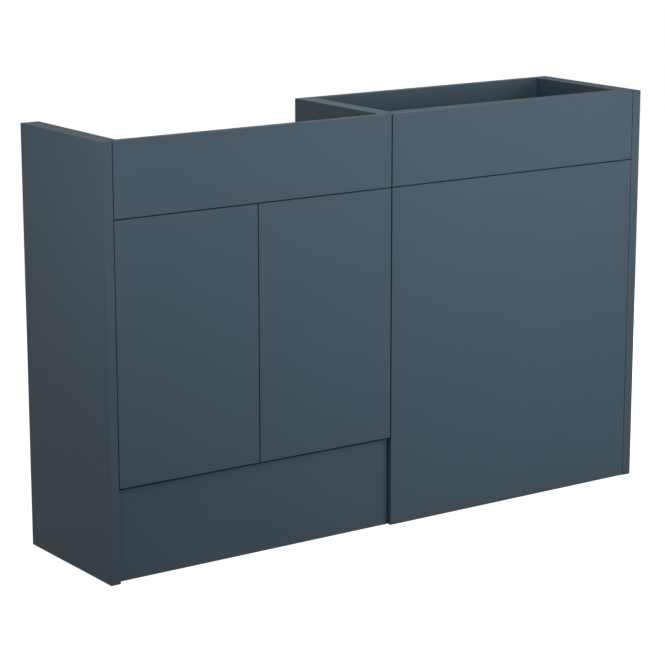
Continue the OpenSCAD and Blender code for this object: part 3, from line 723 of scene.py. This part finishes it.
def cams(name, node, boards):
    """Cams open on the hidden face of their board and grip towards its nearer end."""
    moves = []
    for node_board in boards:
        low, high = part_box(node_board)
        middle = (low.x + high.x) / 2
        thin = min(range(3), key=lambda i: high[i] - low[i])
        for solid in solids(node):
            if not all(low[i] - SLACK < solid.centre[i] < high[i] + SLACK for i in range(3)):
                continue
            opens_high = high[thin] - solid.high[thin] < solid.low[thin] - low[thin]
            grip = LEFT if solid.centre.x < middle else RIGHT
            moves.append(facing(*solid.end(thin, opens_high), grip))
    placed(name, node, "zinc_fixing", cam(), moves)


def cam_bolts(name, node, between):
    """Steel bolts: a coarse thread in the side board, a collar, a neck and a ball for the cam."""
    bite, tip, root, shaft, neck = 11 * MM, 1.5 * MM, 2.1 * MM, 2.5 * MM, 1.7 * MM
    end = solids(node)[0].size.x - bite
    body = turned(
        "cam_bolt",
        [
            (1.2 * MM, -bite), (root, tip - bite), (root, 0), (CAM_BOLT_R, 0),
            (CAM_BOLT_R, 2 * MM), (shaft, 2.2 * MM), (shaft, end - 7 * MM),
            (neck, end - 6 * MM), (neck, end - 4 * MM), (2.7 * MM, end - 3 * MM),
            (CAM_BOLT_R, end - 1.5 * MM), (2.2 * MM, end - 0.3 * MM), (1.2 * MM, end),
        ],
        SMALL_SIDES,
    )
    pitch, turns = 2.6 * MM, 3
    winding = thread(CAM_BOLT_R, pitch, turns, tip - bite, THREAD_STEPS)
    low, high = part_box(between)
    middle = (low.x + high.x) / 2
    moves = []
    for place in solids(node):
        grips_right = place.centre.x < middle
        joint = place.low.x + bite if grips_right else place.high.x - bite
        moves.append(facing((joint, place.centre.y, place.centre.z), RIGHT if grips_right else LEFT))
    placed(name, node, "zinc_fixing", smooth(joined(body, winding)), moves)


def dowels(name, node):
    """Fluted beech dowels with chamfered ends."""
    body = chamfered_rod("dowel", DOWEL_R, solids(node)[0].size.x / 2, 1 * MM, SMALL_SIDES)
    flank, fluted = 0.9 * DOWEL_R, 0.94
    with editing(body):
        choose(body, "faces", lambda face: face.calc_center_median().xy.length > flank)
        bpy.ops.mesh.inset(thickness=0.25 * MM, use_individual=True)
        bpy.ops.transform.resize(value=(fluted, fluted, 1), center_override=(0, 0, 0))
    moves = [facing(place.centre, RIGHT) for place in solids(node)]
    placed(name, node, "beech_dowel", smooth(body), moves)


def unit_joining():
    """Bolts from inside the basin unit into sleeves from inside the toilet unit."""
    head, rise, shank = 7.5 * MM, 3 * MM, 3 * MM
    length = solids("unit_joining_bolts")[0].size.x
    bolt = screw(length - rise, shank, head, rise, 1.6 * MM, pointed=False)
    fastened("joining_bolts", "unit_joining_bolts", moved(bolt, lifted(-rise)))
    length = solids("unit_joining_sleeves")[0].size.x
    chamfer, bore_top = 0.3 * MM, -rise - 5 * MM
    sleeve = turned(
        "sleeve",
        [
            (SLEEVE_R - chamfer, -length), (SLEEVE_R, chamfer - length), (SLEEVE_R, -rise),
            (0.96 * head, -rise), (head, -0.88 * rise), (head, -0.5 * rise),
            (0.92 * head, -0.2 * rise), (0.6 * head, 0),
        ],
    )
    carve(sleeve, [rod("bore", (0, 0, -length - MM), (0, 0, bore_top), shank + SLACK)])
    cross_recess(sleeve, 0, 0.42 * head, 0.5 * rise)
    fastened("joining_sleeves", "unit_joining_sleeves", smooth(sleeve))


def fascia_packers():
    """Washers that hold the fascia off its rail."""
    found = solids("fascia_packers")
    half, radius = found[0].size.y / 2, found[0].size.x / 2
    ring = chamfered_rod("packer", radius, half, 0.3 * MM)
    carve(ring, [rod("bore", (0, 0, -half - MM), (0, 0, half + MM), SCREW_R + SLACK)])
    moves = [facing(solid.centre, BACK) for solid in found]
    placed("packers", "fascia_packers", "black_nylon", smooth(ring), moves)


# ------------------------ access panel and lower panel fixings


def panel_studs():
    """Push-in studs: a ribbed root in the panel and a waisted plug for the socket."""
    root, ribs, rib_pitch, rib_depth = 10 * MM, 4, 2 * MM, 0.7 * MM
    plug, stud_r, waist_r, sides = 10 * MM, 4 * MM, 3.2 * MM, 28
    profile = [(STUD_ROOT_R - MM, -root)]
    for i in range(ribs):
        low = -root + MM + i * rib_pitch
        profile += [(STUD_ROOT_R, low), (STUD_ROOT_R - rib_depth, low + 0.95 * rib_pitch)]
    profile += [
        (STUD_ROOT_R, 0), (stud_r - 0.1 * MM, 0), (waist_r, MM), (waist_r, 5 * MM),
        (stud_r, 6.4 * MM), (stud_r, 7.6 * MM), (3 * MM, 9.2 * MM), (1.6 * MM, plug),
    ]
    model = smooth(turned("stud", profile, sides))
    moves = [
        facing((solid.centre.x, solid.low.y + root, solid.centre.z), BACK)
        for solid in solids("access_panel_studs")
    ]
    placed("panel_studs", "access_panel_studs", "black_nylon", model, moves)


def panel_sockets():
    """Split sockets in the rails that grip the studs."""
    found = solids("stud_sockets")
    length, bore_r, floor = found[0].size.y, 4.06 * MM, 3 * MM
    foot, rim, mouth = 0.6 * MM, 0.4 * MM, 0.8 * MM
    body = turned(
        "socket",
        [
            (SOCKET_R - foot, -length), (SOCKET_R, foot - length), (SOCKET_R, -rim),
            (SOCKET_R - rim, 0), (bore_r + mouth, 0), (bore_r, -mouth), (bore_r, floor - length),
        ],
    )
    slit, depth = 0.4 * MM, 8 * MM
    for x, y in ((SOCKET_R + MM, slit), (slit, SOCKET_R + MM)):
        carve(body, [block("slit", (-x, -y, -depth), (x, y, MM))])
    moves = [facing((solid.centre.x, solid.low.y, solid.centre.z), FRONT) for solid in found]
    placed("panel_sockets", "stud_sockets", "black_nylon", smooth(body), moves)


def corner_blocks():
    """Moulded blocks that tie the lower panel to the sides, with a groove round each."""
    half = solids("wc_corner_blocks")[0].size / 2
    body = rounded(block("corner_block", -half, half), 1.2 * MM)
    groove = 0.6 * MM
    outer = Vector((half.x + MM, half.y + MM, groove))
    inner = Vector((half.x - groove, half.y - groove, half.z))
    collar = carve(block("collar", -outer, outer), [block("core", -inner, inner)])
    carve(body, [collar])
    panel_screw, side_screw = -7 * MM, 8 * MM
    for height, way in ((panel_screw, BACK), (side_screw, RIGHT)):
        carve(body, [through(UP * height, way, half.x + MM, SCREW_R + SLACK)])
    moves = [Matrix.Translation(place.centre) for place in solids("wc_corner_blocks")]
    placed("corner_blocks", "wc_corner_blocks", "black_nylon", smooth(body), moves)


# ------------------------ hinges


def lowest_left(node):
    return solids(node)[0]


def both_hinges(model):
    """The lower hinge's part and its copy at the upper hinge of the left door."""
    cups = solids("hinge_cups_left")
    return joined(model, copied(model, lifted(cups[-1].centre.z - cups[0].centre.z)))


def half_turn():
    """The half turn about the cupboard's middle that takes the left hinges to the right ones."""
    left_end, right_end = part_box("basin_side_left")[0].x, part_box("basin_side_right")[1].x
    cups = solids("hinge_cups_left")
    middle = Vector(((left_end + right_end) / 2, 0, (cups[0].centre.z + cups[-1].centre.z) / 2))
    return Matrix.Translation(middle) @ Matrix.Rotation(pi, 4, "Y") @ Matrix.Translation(-middle)


def left_and_right(model, name, node):
    """A hinge part that each door has its own node for."""
    left = both_hinges(model)
    right = copied(left, half_turn())
    for piece, side in ((left, "left"), (right, "right")):
        stands_for(named(piece, f"{side}_{name}"), f"{node}_{side}", "nickel_steel")


def in_all_hinges(model, name, node):
    """A hinge part whose four copies share one node."""
    left = both_hinges(model)
    piece = joined(left, copied(left, half_turn()))
    stands_for(named(piece, name), node, "nickel_steel")


# Half the gap between a cup's ears, their thickness, how round the corners of the cups' and
# plates' wings are, and the angle in degrees from which an edge counts as sharp
EAR_GAP = 5.3 * MM
EAR_T = 2 * MM
WING_ROUND = 5.4 * MM
SHARP = 50


def eased(piece):
    """A pressed or moulded part with its sharp edges just taken off."""
    return rounded(piece, 0.3 * MM, 2, SHARP)


def plate_screw_kinds():
    """The long screws of the mounting plates, and the flat adjusting screws."""
    found = solids("hinge_plate_screws")
    limit = 10 * MM
    return [s for s in found if s.size.x > limit], [s for s in found if s.size.x < limit]


def hinge_cups():
    """Drawn steel cups: a rounded drum, a winged flange and two ears for the pin."""
    solid = lowest_left("hinge_cups_left")
    middle = cup_axis(solid)
    pin = lowest_left("hinge_cup_pins_left").centre
    deep, wall, flange = solid.size.y, 0.8 * MM, 1 * MM
    drum, rim, inner = CUP_R, CUP_R + CUP_RIM, CUP_R - wall
    cup = turned(
        "cup",
        [
            (drum - 3 * MM, -deep), (drum - 0.9 * MM, 0.9 * MM - deep), (drum, 3 * MM - deep),
            (drum, -flange), (rim - 0.2 * MM, -flange), (rim, 0.2 * MM - flange), (rim, -0.3 * MM),
            (rim - 0.3 * MM, 0), (inner + 0.6 * MM, 0), (inner, -0.6 * MM), (inner, 3.2 * MM - deep),
            (inner - 0.8 * MM, 1.6 * MM - deep), (inner - 2.6 * MM, wall - deep),
        ],
        WIDE_SIDES,
    )
    moved(cup, facing((middle.x, solid.high.y, middle.z), BACK))
    screw_x = lowest_left("hinge_cup_screws_left").centre.x
    half_w, half_h, face = 6 * MM, solid.size.z / 2, solid.high.y
    wing = block(
        "wing", (screw_x - half_w, face - flange, solid.centre.z - half_h),
        (screw_x + half_w, face, solid.centre.z + half_h),
    )
    rounded_edges(wing, BACK, WING_ROUND)
    carve(wing, [through(middle, BACK, deep, drum - wall / 2, WIDE_SIDES)])
    for fixing in solids("hinge_cup_screws_left")[:2]:
        carve(wing, [through(fixing.centre, BACK, deep, CUP_SCREW_R + SLACK)])
    carve(cup, [wing], operation="UNION")
    ears = []
    ear_half, ear_past_pin = 2.9 * MM, 2.4 * MM
    for side in (-1, 1):
        z = solid.centre.z + side * (EAR_GAP + EAR_T / 2)
        ear = block(
            "ear", (pin.x - ear_half, face - deep + wall / 2, z - EAR_T / 2),
            (pin.x + ear_half, pin.y + ear_past_pin, z + EAR_T / 2),
        )
        rounded_edges(ear, UP, 2 * MM, near=lambda mid: mid.y > pin.y)
        ears.append(rounded(ear, 0.2 * MM, 1, SHARP))
    left_and_right(smooth(joined(cup, *ears)), "hinge_cups", "hinge_cups")


def riveted_pin(node):
    """A steel pin with peened ends, where its CAD solid lies."""
    solid = lowest_left(node)
    pin = chamfered_rod("pin", solid.size.x / 2, solid.size.z / 2, 0.4 * MM, SMALL_SIDES)
    return smooth(moved(pin, Matrix.Translation(solid.centre)))


def hinge_pins():
    left_and_right(riveted_pin("hinge_cup_pins_left"), "cup_pins", "hinge_cup_pins")
    in_all_hinges(riveted_pin("hinge_arm_pins"), "arm_pins", "hinge_arm_pins")


def hinge_links():
    """Half rings of strap steel with an eye at each end."""
    cup_pin = lowest_left("hinge_cup_pins_left").centre
    arm_pin = lowest_left("hinge_arm_pins").centre
    solid = lowest_left("hinge_links_left")
    half, strap, pin_r = solid.size.z / 2, 2 * MM, 1.55 * MM
    middle = (cup_pin + arm_pin) / 2
    radial = (cup_pin - middle).normalized()
    bpy.ops.mesh.primitive_plane_add(size=1, scale=(1, 1, 1))
    link = settle("strap")
    start = Matrix((radial * strap, UP * 2 * half, radial.cross(UP))).transposed().to_4x4()
    start.translation = cup_pin
    moved(link, start)
    with editing(link, selection="SELECT"):
        bpy.ops.mesh.spin(steps=24, angle=-pi, center=middle, axis=UP)
    outward(link)
    for pin, eye_r in ((cup_pin, 2.4 * MM), (arm_pin, 3 * MM)):
        carve(link, [eased(through(pin, UP, half, eye_r))], operation="UNION")
    for pin in (cup_pin, arm_pin):
        carve(link, [through(pin, UP, 2 * half, pin_r)])
    left_and_right(smooth(link), "hinge_links", "hinge_links")


def hinge_arms():
    """Pressed arms: a channel with a round nose, slotted for its screws and for the link."""
    solid = lowest_left("hinge_arms")
    low, high = solid.low, solid.high
    arm_pin = lowest_left("hinge_arm_pins").centre
    nose = (high.x - low.x) / 2
    arm = block("arm", low, high)
    rounded_edges(arm, UP, nose * 0.98, 8, near=lambda mid: mid.y < arm_pin.y)
    rounded_edges(arm, BACK, 1.6 * MM, 4, near=lambda mid: mid.x > solid.centre.x)
    eased(arm)
    wall, slot_end = 1.4 * MM, arm_pin.y + 10 * MM
    slot = block(
        "slot", (low.x - MM, low.y - MM, solid.centre.z - EAR_GAP),
        (high.x + MM, slot_end, solid.centre.z + EAR_GAP),
    )
    carve(arm, [slot])
    channel = block(
        "channel", (low.x - MM, slot_end + 3 * MM, low.z + wall),
        (high.x - wall, high.y + MM, high.z - wall),
    )
    carve(arm, [channel])
    carve(arm, [through(arm_pin, UP, 10 * MM, 1.5 * MM)])
    in_all_hinges(smooth(arm), "hinge_arm_channels", "hinge_arms")


def hinge_plates():
    """Mounting plates: a raised rib under the arm and two rounded wings on the board."""
    solid = lowest_left("hinge_plates")
    low, high = solid.low, solid.high
    rib_half, wing_half, base = 7.3 * MM, 6 * MM, 2 * MM
    long, _ = plate_screw_kinds()
    plate_screw = long[0].centre
    rib = block(
        "rib", (low.x, low.y, solid.centre.z - rib_half), (high.x, high.y, solid.centre.z + rib_half)
    )
    rounded_edges(rib, RIGHT, 2 * MM, 4)
    eased(rib)
    window = block(
        "window", (low.x + 3 * MM, high.y - 12 * MM, low.z),
        (high.x - 2 * MM, high.y - 6 * MM, high.z),
    )
    carve(rib, [window])
    wings = block(
        "wings", (low.x, plate_screw.y - wing_half, low.z),
        (low.x + base, plate_screw.y + wing_half, high.z),
    )
    rounded_edges(wings, RIGHT, WING_ROUND)
    apart = abs(plate_screw.z - solid.centre.z)
    for side in (-1, 1):
        place = Vector((low.x, plate_screw.y, solid.centre.z + side * apart))
        carve(wings, [rod("hole", place + LEFT * MM, place + RIGHT * 3 * MM, PLATE_SCREW_R + SLACK)])
    carve(rib, [wings], operation="UNION")
    in_all_hinges(smooth(rib), "mounting_plates", "hinge_plates")


def hinge_plate_screws():
    """Screws of the mounting plates, and the adjusting screws that show on the arms."""
    long, flat = plate_screw_kinds()
    rise = 2 * MM
    model = screw(long[0].size.x - rise, PLATE_SCREW_R, 4.5 * MM, rise, 2.2 * MM)
    moved(model, lifted(-rise))
    euro = everywhere("euro", model, [facing(*solid.head()) for solid in long])
    radius, height = flat[0].size.y / 2, flat[0].size.x
    profile = [(radius, 0), (radius, 0.7 * height), (radius - 0.3 * MM, height)]
    disc = turned("adjuster", profile, SMALL_SIDES)
    cross_recess(disc, height, 0.6 * radius, 0.7 * height)
    left_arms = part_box("hinge_arms")[0].x
    moves = []
    for solid in flat:
        on_left = solid.centre.x - left_arms < 50 * MM
        place, back = solid.end(0, not on_left)
        moves.append(facing(place, -back))
    piece = joined(euro, everywhere("adjusters", smooth(disc), moves))
    stands_for(named(piece, "hinge_screws"), "hinge_plate_screws", "zinc_fixing")


def door_bumpers():
    """Clear domes that keep the doors off the carcass."""
    solid = solids("door_bumpers_left")[0]
    radius, height = solid.size.x / 2, solid.size.y
    for side in SIDES:
        dome = turned(
            "dome",
            [
                (radius, 0), (radius, 0.35 * height), (0.92 * radius, 0.65 * height),
                (0.74 * radius, 0.86 * height), (0.45 * radius, 0.97 * height), (0.15 * radius, height),
            ],
        )
        node = f"door_bumpers_{side}"
        moves = [facing((bump.centre.x, bump.low.y, bump.centre.z), BACK) for bump in solids(node)]
        placed(f"{side}_bumpers", node, "clear_bumper", smooth(dome, 60), moves)


# ------------------------ legs and plinth clips


def leg_centres():
    """Centres of the four legs on the floor."""
    return [Vector((s.centre.x, s.centre.y, 0)) for s in solids("leg_tubes")]


def leg_sockets():
    """Sockets under the base board: a screwed flange, a collar and four gussets."""
    solid = solids("leg_sockets")[0]
    tube_r = solids("leg_tubes")[0].size.x / 2
    flange_r, height = solid.size.x / 2, solid.size.z
    inner, collar, flange = tube_r + SLACK, tube_r + 4 * MM, 4 * MM
    body = turned(
        "socket",
        [
            (flange_r - 0.5 * MM, 0), (flange_r, -0.5 * MM), (flange_r, 0.8 * MM - flange),
            (flange_r - 0.8 * MM, -flange), (collar + 2 * MM, -flange), (collar, -flange - 2 * MM),
            (collar, 2 * MM - height), (collar - 0.8 * MM, -height), (inner + 0.6 * MM, -height),
            (inner, 0.6 * MM - height), (inner, -flange),
        ],
        WIDE_SIDES,
    )
    gussets, half, drop, reach = [], 1.2 * MM, 22 * MM, flange_r - 2 * MM
    for quarter in range(4):
        gusset = block("gusset", (collar - MM, -half, -flange - drop), (reach, half, -flange + MM))
        with editing(gusset, selection="SELECT"):
            bpy.ops.mesh.bisect(
                plane_co=(reach, 0, -flange - MM), plane_no=(0.86, 0, -0.42),
                use_fill=True, clear_outer=True,
            )
        gussets.append(moved(gusset, Matrix.Rotation(quarter * pi / 2, 4, "Z")))
    centre = leg_centres()[0]
    offsets = [fixing.centre - centre for fixing in solids("leg_screws")]
    holes = [
        rod("hole", (at.x, at.y, -flange - MM), (at.x, at.y, MM), SCREW_R + SLACK, HOLE_SIDES)
        for at in offsets if at.xy.length < flange_r
    ]
    carve(body, holes)
    model = smooth(joined(body, *gussets))
    moves = [Matrix.Translation(place + UP * solid.high.z) for place in leg_centres()]
    placed("socket_flanges", "leg_sockets", "black_nylon", model, moves)


def leg_tubes():
    """Plain tubes with three grip rings turned near the lower end."""
    solid = solids("leg_tubes")[0]
    radius, height, bore = solid.size.x / 2, solid.size.z, 11 * MM
    groove, wide = 0.6 * MM, 2 * MM
    profile = [(radius - 0.8 * MM, 0), (radius, 0.8 * MM)]
    for i in range(3):
        start = 5 * MM + i * 2 * wide
        profile += [
            (radius, start), (radius - groove, start + groove),
            (radius - groove, start + wide - groove), (radius, start + wide),
        ]
    profile += [(radius, height - 0.5 * MM), (radius - 0.5 * MM, height)]
    tube = turned("tube", profile, WIDE_SIDES)
    carve(tube, [rod("bore", (0, 0, -MM), (0, 0, height + MM), bore, WIDE_SIDES)])
    moves = [Matrix.Translation(place + UP * solid.low.z) for place in leg_centres()]
    placed("legs", "leg_tubes", "black_nylon", smooth(tube), moves)


def feet():
    """Screw-in feet: a scalloped disc on a coarse threaded stud."""
    low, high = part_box("foot_front_left")
    disc_r, disc_t, stud_r, stud_top = (high.x - low.x) / 2, 8 * MM, 10.95 * MM, high.z
    core, pitch, steps = stud_r - 1.3 * MM, 4 * MM, 32
    scallops, scallop_r = 12, 3 * MM
    disc = turned(
        "foot",
        [
            (disc_r - 1.5 * MM, 0), (disc_r, 1.5 * MM), (disc_r, disc_t - 2 * MM),
            (disc_r - 1.5 * MM, disc_t - 0.5 * MM), (disc_r - 4 * MM, disc_t), (stud_r + 2 * MM, disc_t),
            (core, disc_t + 0.01 * MM), (core, stud_top - MM), (core - MM, stud_top),
        ],
        6 * scallops,
    )
    notches = []
    for i in range(scallops):
        at = Matrix.Rotation(i * tau / scallops, 4, "Z") @ Vector((disc_r + 1.6 * MM, 0, 0))
        notches.append(rod("notch", at + DOWN * MM, at + UP * (disc_t + MM), scallop_r, HOLE_SIDES))
    carve(disc, notches)
    turns = int((stud_top - disc_t) / pitch) - 1
    model = smooth(joined(disc, thread(stud_r, pitch, turns, disc_t + 0.6 * pitch, steps)))
    for row in ("front", "rear"):
        for side in SIDES:
            node = f"foot_{row}_{side}"
            low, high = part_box(node)
            place = Vector(((low.x + high.x) / 2, (low.y + high.y) / 2, 0))
            piece = named(copied(model, Matrix.Translation(place)), f"{row}_{side}_foot")
            stands_for(piece, node, "black_nylon")
    bpy.data.objects.remove(model)


def plinth_clips():
    """Clips on the plinth: a rounded plate with two jaws that grip a leg."""
    solid = solids("plinth_clips")[0]
    low, high, middle = solid.low, solid.high, solid.centre
    plate, jaw_in, jaw_t, jaw_half = 4 * MM, 16.3 * MM, 3 * MM, 8 * MM
    body = block("plate", (low.x, low.y, low.z), (high.x, low.y + plate, high.z))
    rounded_edges(body, BACK, 5 * MM)
    rounded(body, 0.6 * MM, 2, SHARP)
    for fixing in solids("plinth_clip_screws"):
        if low.x < fixing.centre.x < high.x:
            carve(body, [through(fixing.centre, BACK, BORE_REACH, SCREW_R + SLACK, HOLE_SIDES)])
    jaws = []
    for side in (-1, 1):
        near, far = middle.x + side * jaw_in, middle.x + side * (jaw_in + jaw_t)
        jaw = block(
            "jaw", (min(near, far), low.y + plate / 2, middle.z - jaw_half),
            (max(near, far), high.y, middle.z + jaw_half),
        )
        rounded_edges(jaw, RIGHT, 3 * MM, 4, near=lambda mid: mid.y > middle.y)
        rounded_edges(
            jaw, UP, 1.4 * MM, 4,
            near=lambda mid: mid.y > middle.y and abs(mid.x - middle.x) < jaw_in + jaw_t / 2,
        )
        jaws.append(eased(jaw))
    web = block(
        "web", (middle.x - jaw_in - MM, low.y + plate / 2, middle.z - MM),
        (middle.x + jaw_in + MM, low.y + plate + 5 * MM, middle.z + MM),
    )
    model = smooth(joined(body, *jaws, eased(web)))
    moves = [Matrix.Translation(clip.centre - middle) for clip in solids("plinth_clips")]
    placed("clips", "plinth_clips", "black_nylon", model, moves)


# ------------------------ camera, floor and light


def camera():
    bpy.ops.object.camera_add(location=CAMERA_AT, rotation=(pi / 2 - CAMERA_PITCH, 0, -CAMERA_YAW))
    eye = bpy.context.active_object
    eye.data.sensor_width = CAMERA_SENSOR
    eye.data.lens = CAMERA_LENS
    bpy.context.scene.camera = eye


def seen_directly(tree):
    """A factor of 1 for what the camera sees, also in metal and through clear rubber."""
    path = tree.nodes.new("ShaderNodeLightPath")
    total = path.outputs["Is Camera Ray"]
    for ray in ("Is Glossy Ray", "Is Transmission Ray"):
        most = tree.nodes.new("ShaderNodeMath")
        most.operation = "MAXIMUM"
        tree.links.new(total, most.inputs[0])
        tree.links.new(path.outputs[ray], most.inputs[1])
        total = most.outputs[0]
    return total


WHITE = (1, 1, 1, 1)
FILL_COLOUR = (0.95, 0.98, 1.0, 1)
FILL_STRENGTH = 0.17
FLOOR_SIZE = 60
FLOOR_GLOW = 0.96
FLOOR_TONE = (0.4, 0.4, 0.4, 1)
FLOOR_BOUNCE = (0.1, 0.1, 0.1, 1)


def split(tree, light, view, output):
    """Sends one shader to the output for the light, and another for what is seen directly."""
    mix = tree.nodes.new("ShaderNodeMixShader")
    tree.links.new(seen_directly(tree), mix.inputs["Fac"])
    tree.links.new(light.outputs[0], mix.inputs[1])
    tree.links.new(view.outputs[0], mix.inputs[2])
    tree.links.new(mix.outputs[0], tree.nodes[output].inputs["Surface"])


def surroundings():
    """A white backdrop for the camera, and a weaker even fill for the light."""
    world = bpy.data.worlds.new("studio")
    world.use_nodes = True
    bpy.context.scene.world = world
    tree = world.node_tree
    fill = filled(tree.nodes["Background"], Color=FILL_COLOUR, Strength=FILL_STRENGTH)
    backdrop = filled(tree.nodes.new("ShaderNodeBackground"), Color=WHITE)
    split(tree, fill, backdrop, "World Output")


def floor():
    """A pale floor that reads white and keeps a soft shadow."""
    bpy.ops.mesh.primitive_plane_add(size=FLOOR_SIZE)
    ground = settle("studio_floor")
    material = bpy.data.materials.new("pale floor")
    material.use_nodes = True
    tree = material.node_tree
    tree.nodes.remove(tree.nodes["Principled BSDF"])
    glow = filled(tree.nodes.new("ShaderNodeEmission"), Color=WHITE, Strength=FLOOR_GLOW)
    shaded = filled(tree.nodes.new("ShaderNodeBsdfDiffuse"), Color=FLOOR_TONE)
    bounce = filled(tree.nodes.new("ShaderNodeBsdfDiffuse"), Color=FLOOR_BOUNCE)
    total = tree.nodes.new("ShaderNodeAddShader")
    tree.links.new(glow.outputs[0], total.inputs[0])
    tree.links.new(shaded.outputs[0], total.inputs[1])
    split(tree, bounce, total, "Material Output")
    ground.data.materials.append(material)


def softbox(name, place, aim, size, power):
    bpy.ops.object.light_add(type="AREA", location=place)
    lamp = bpy.context.active_object
    lamp.name = name
    lamp.rotation_euler = (Vector(aim) - Vector(place)).to_track_quat("-Z", "Y").to_euler()
    lamp.data.size = size
    lamp.data.energy = power
    lamp.visible_camera = False


def lights():
    softbox("front left", (0.2, -1.4, 1.0), (0.1, 0, 0.65), 0.8, 10.8)
    softbox("front right", (1.4, -1.3, 1.0), (0.6, 0, 0.65), 0.8, 9.3)
    softbox("left side", (-1.15, -0.45, 0.95), (-0.62, -0.1, 0.75), 0.4, 2.6)
    softbox("right side", (2.1, 0.3, 0.6), (0.62, 0.1, 0.45), 0.8, 16)
    softbox("back right", (1.2, 1.8, 0.55), (0.1, 0, 0.4), 0.9, 30)
    softbox("back left", (-0.9, 1.8, 0.5), (0, 0, 0.4), 0.9, 2)
    softbox("above", (0.2, 0.9, 1.9), (0.1, 0.1, 0.7), 1.4, 4.7)


# ------------------------ the scene

camera()
end_panels()
basin_carcass()
wc_carcass()
fronts()
screws()
cams("basin_cam_fittings", "basin_cams", (
    "basin_base", "basin_fascia_rail", "basin_rear_rail_upper", "basin_rear_rail_lower"))
cams("toilet_cam_fittings", "wc_cams", (
    "wc_front_rail_top", "wc_front_rail_middle", "wc_front_rail_bottom",
    "wc_rear_rail_top", "wc_rear_rail_bottom"))
cam_bolts("basin_joint_bolts", "basin_cam_bolts", "basin_base")
cam_bolts("toilet_joint_bolts", "wc_cam_bolts", "wc_front_rail_top")
dowels("basin_joint_dowels", "basin_dowels")
dowels("toilet_joint_dowels", "wc_dowels")
unit_joining()
fascia_packers()
panel_studs()
panel_sockets()
corner_blocks()
hinge_cups()
hinge_pins()
hinge_links()
hinge_arms()
hinge_plates()
hinge_plate_screws()
door_bumpers()
leg_sockets()
leg_tubes()
feet()
plinth_clips()
surroundings()
floor()
lights()

bpy.context.scene.view_settings.view_transform = "Standard"
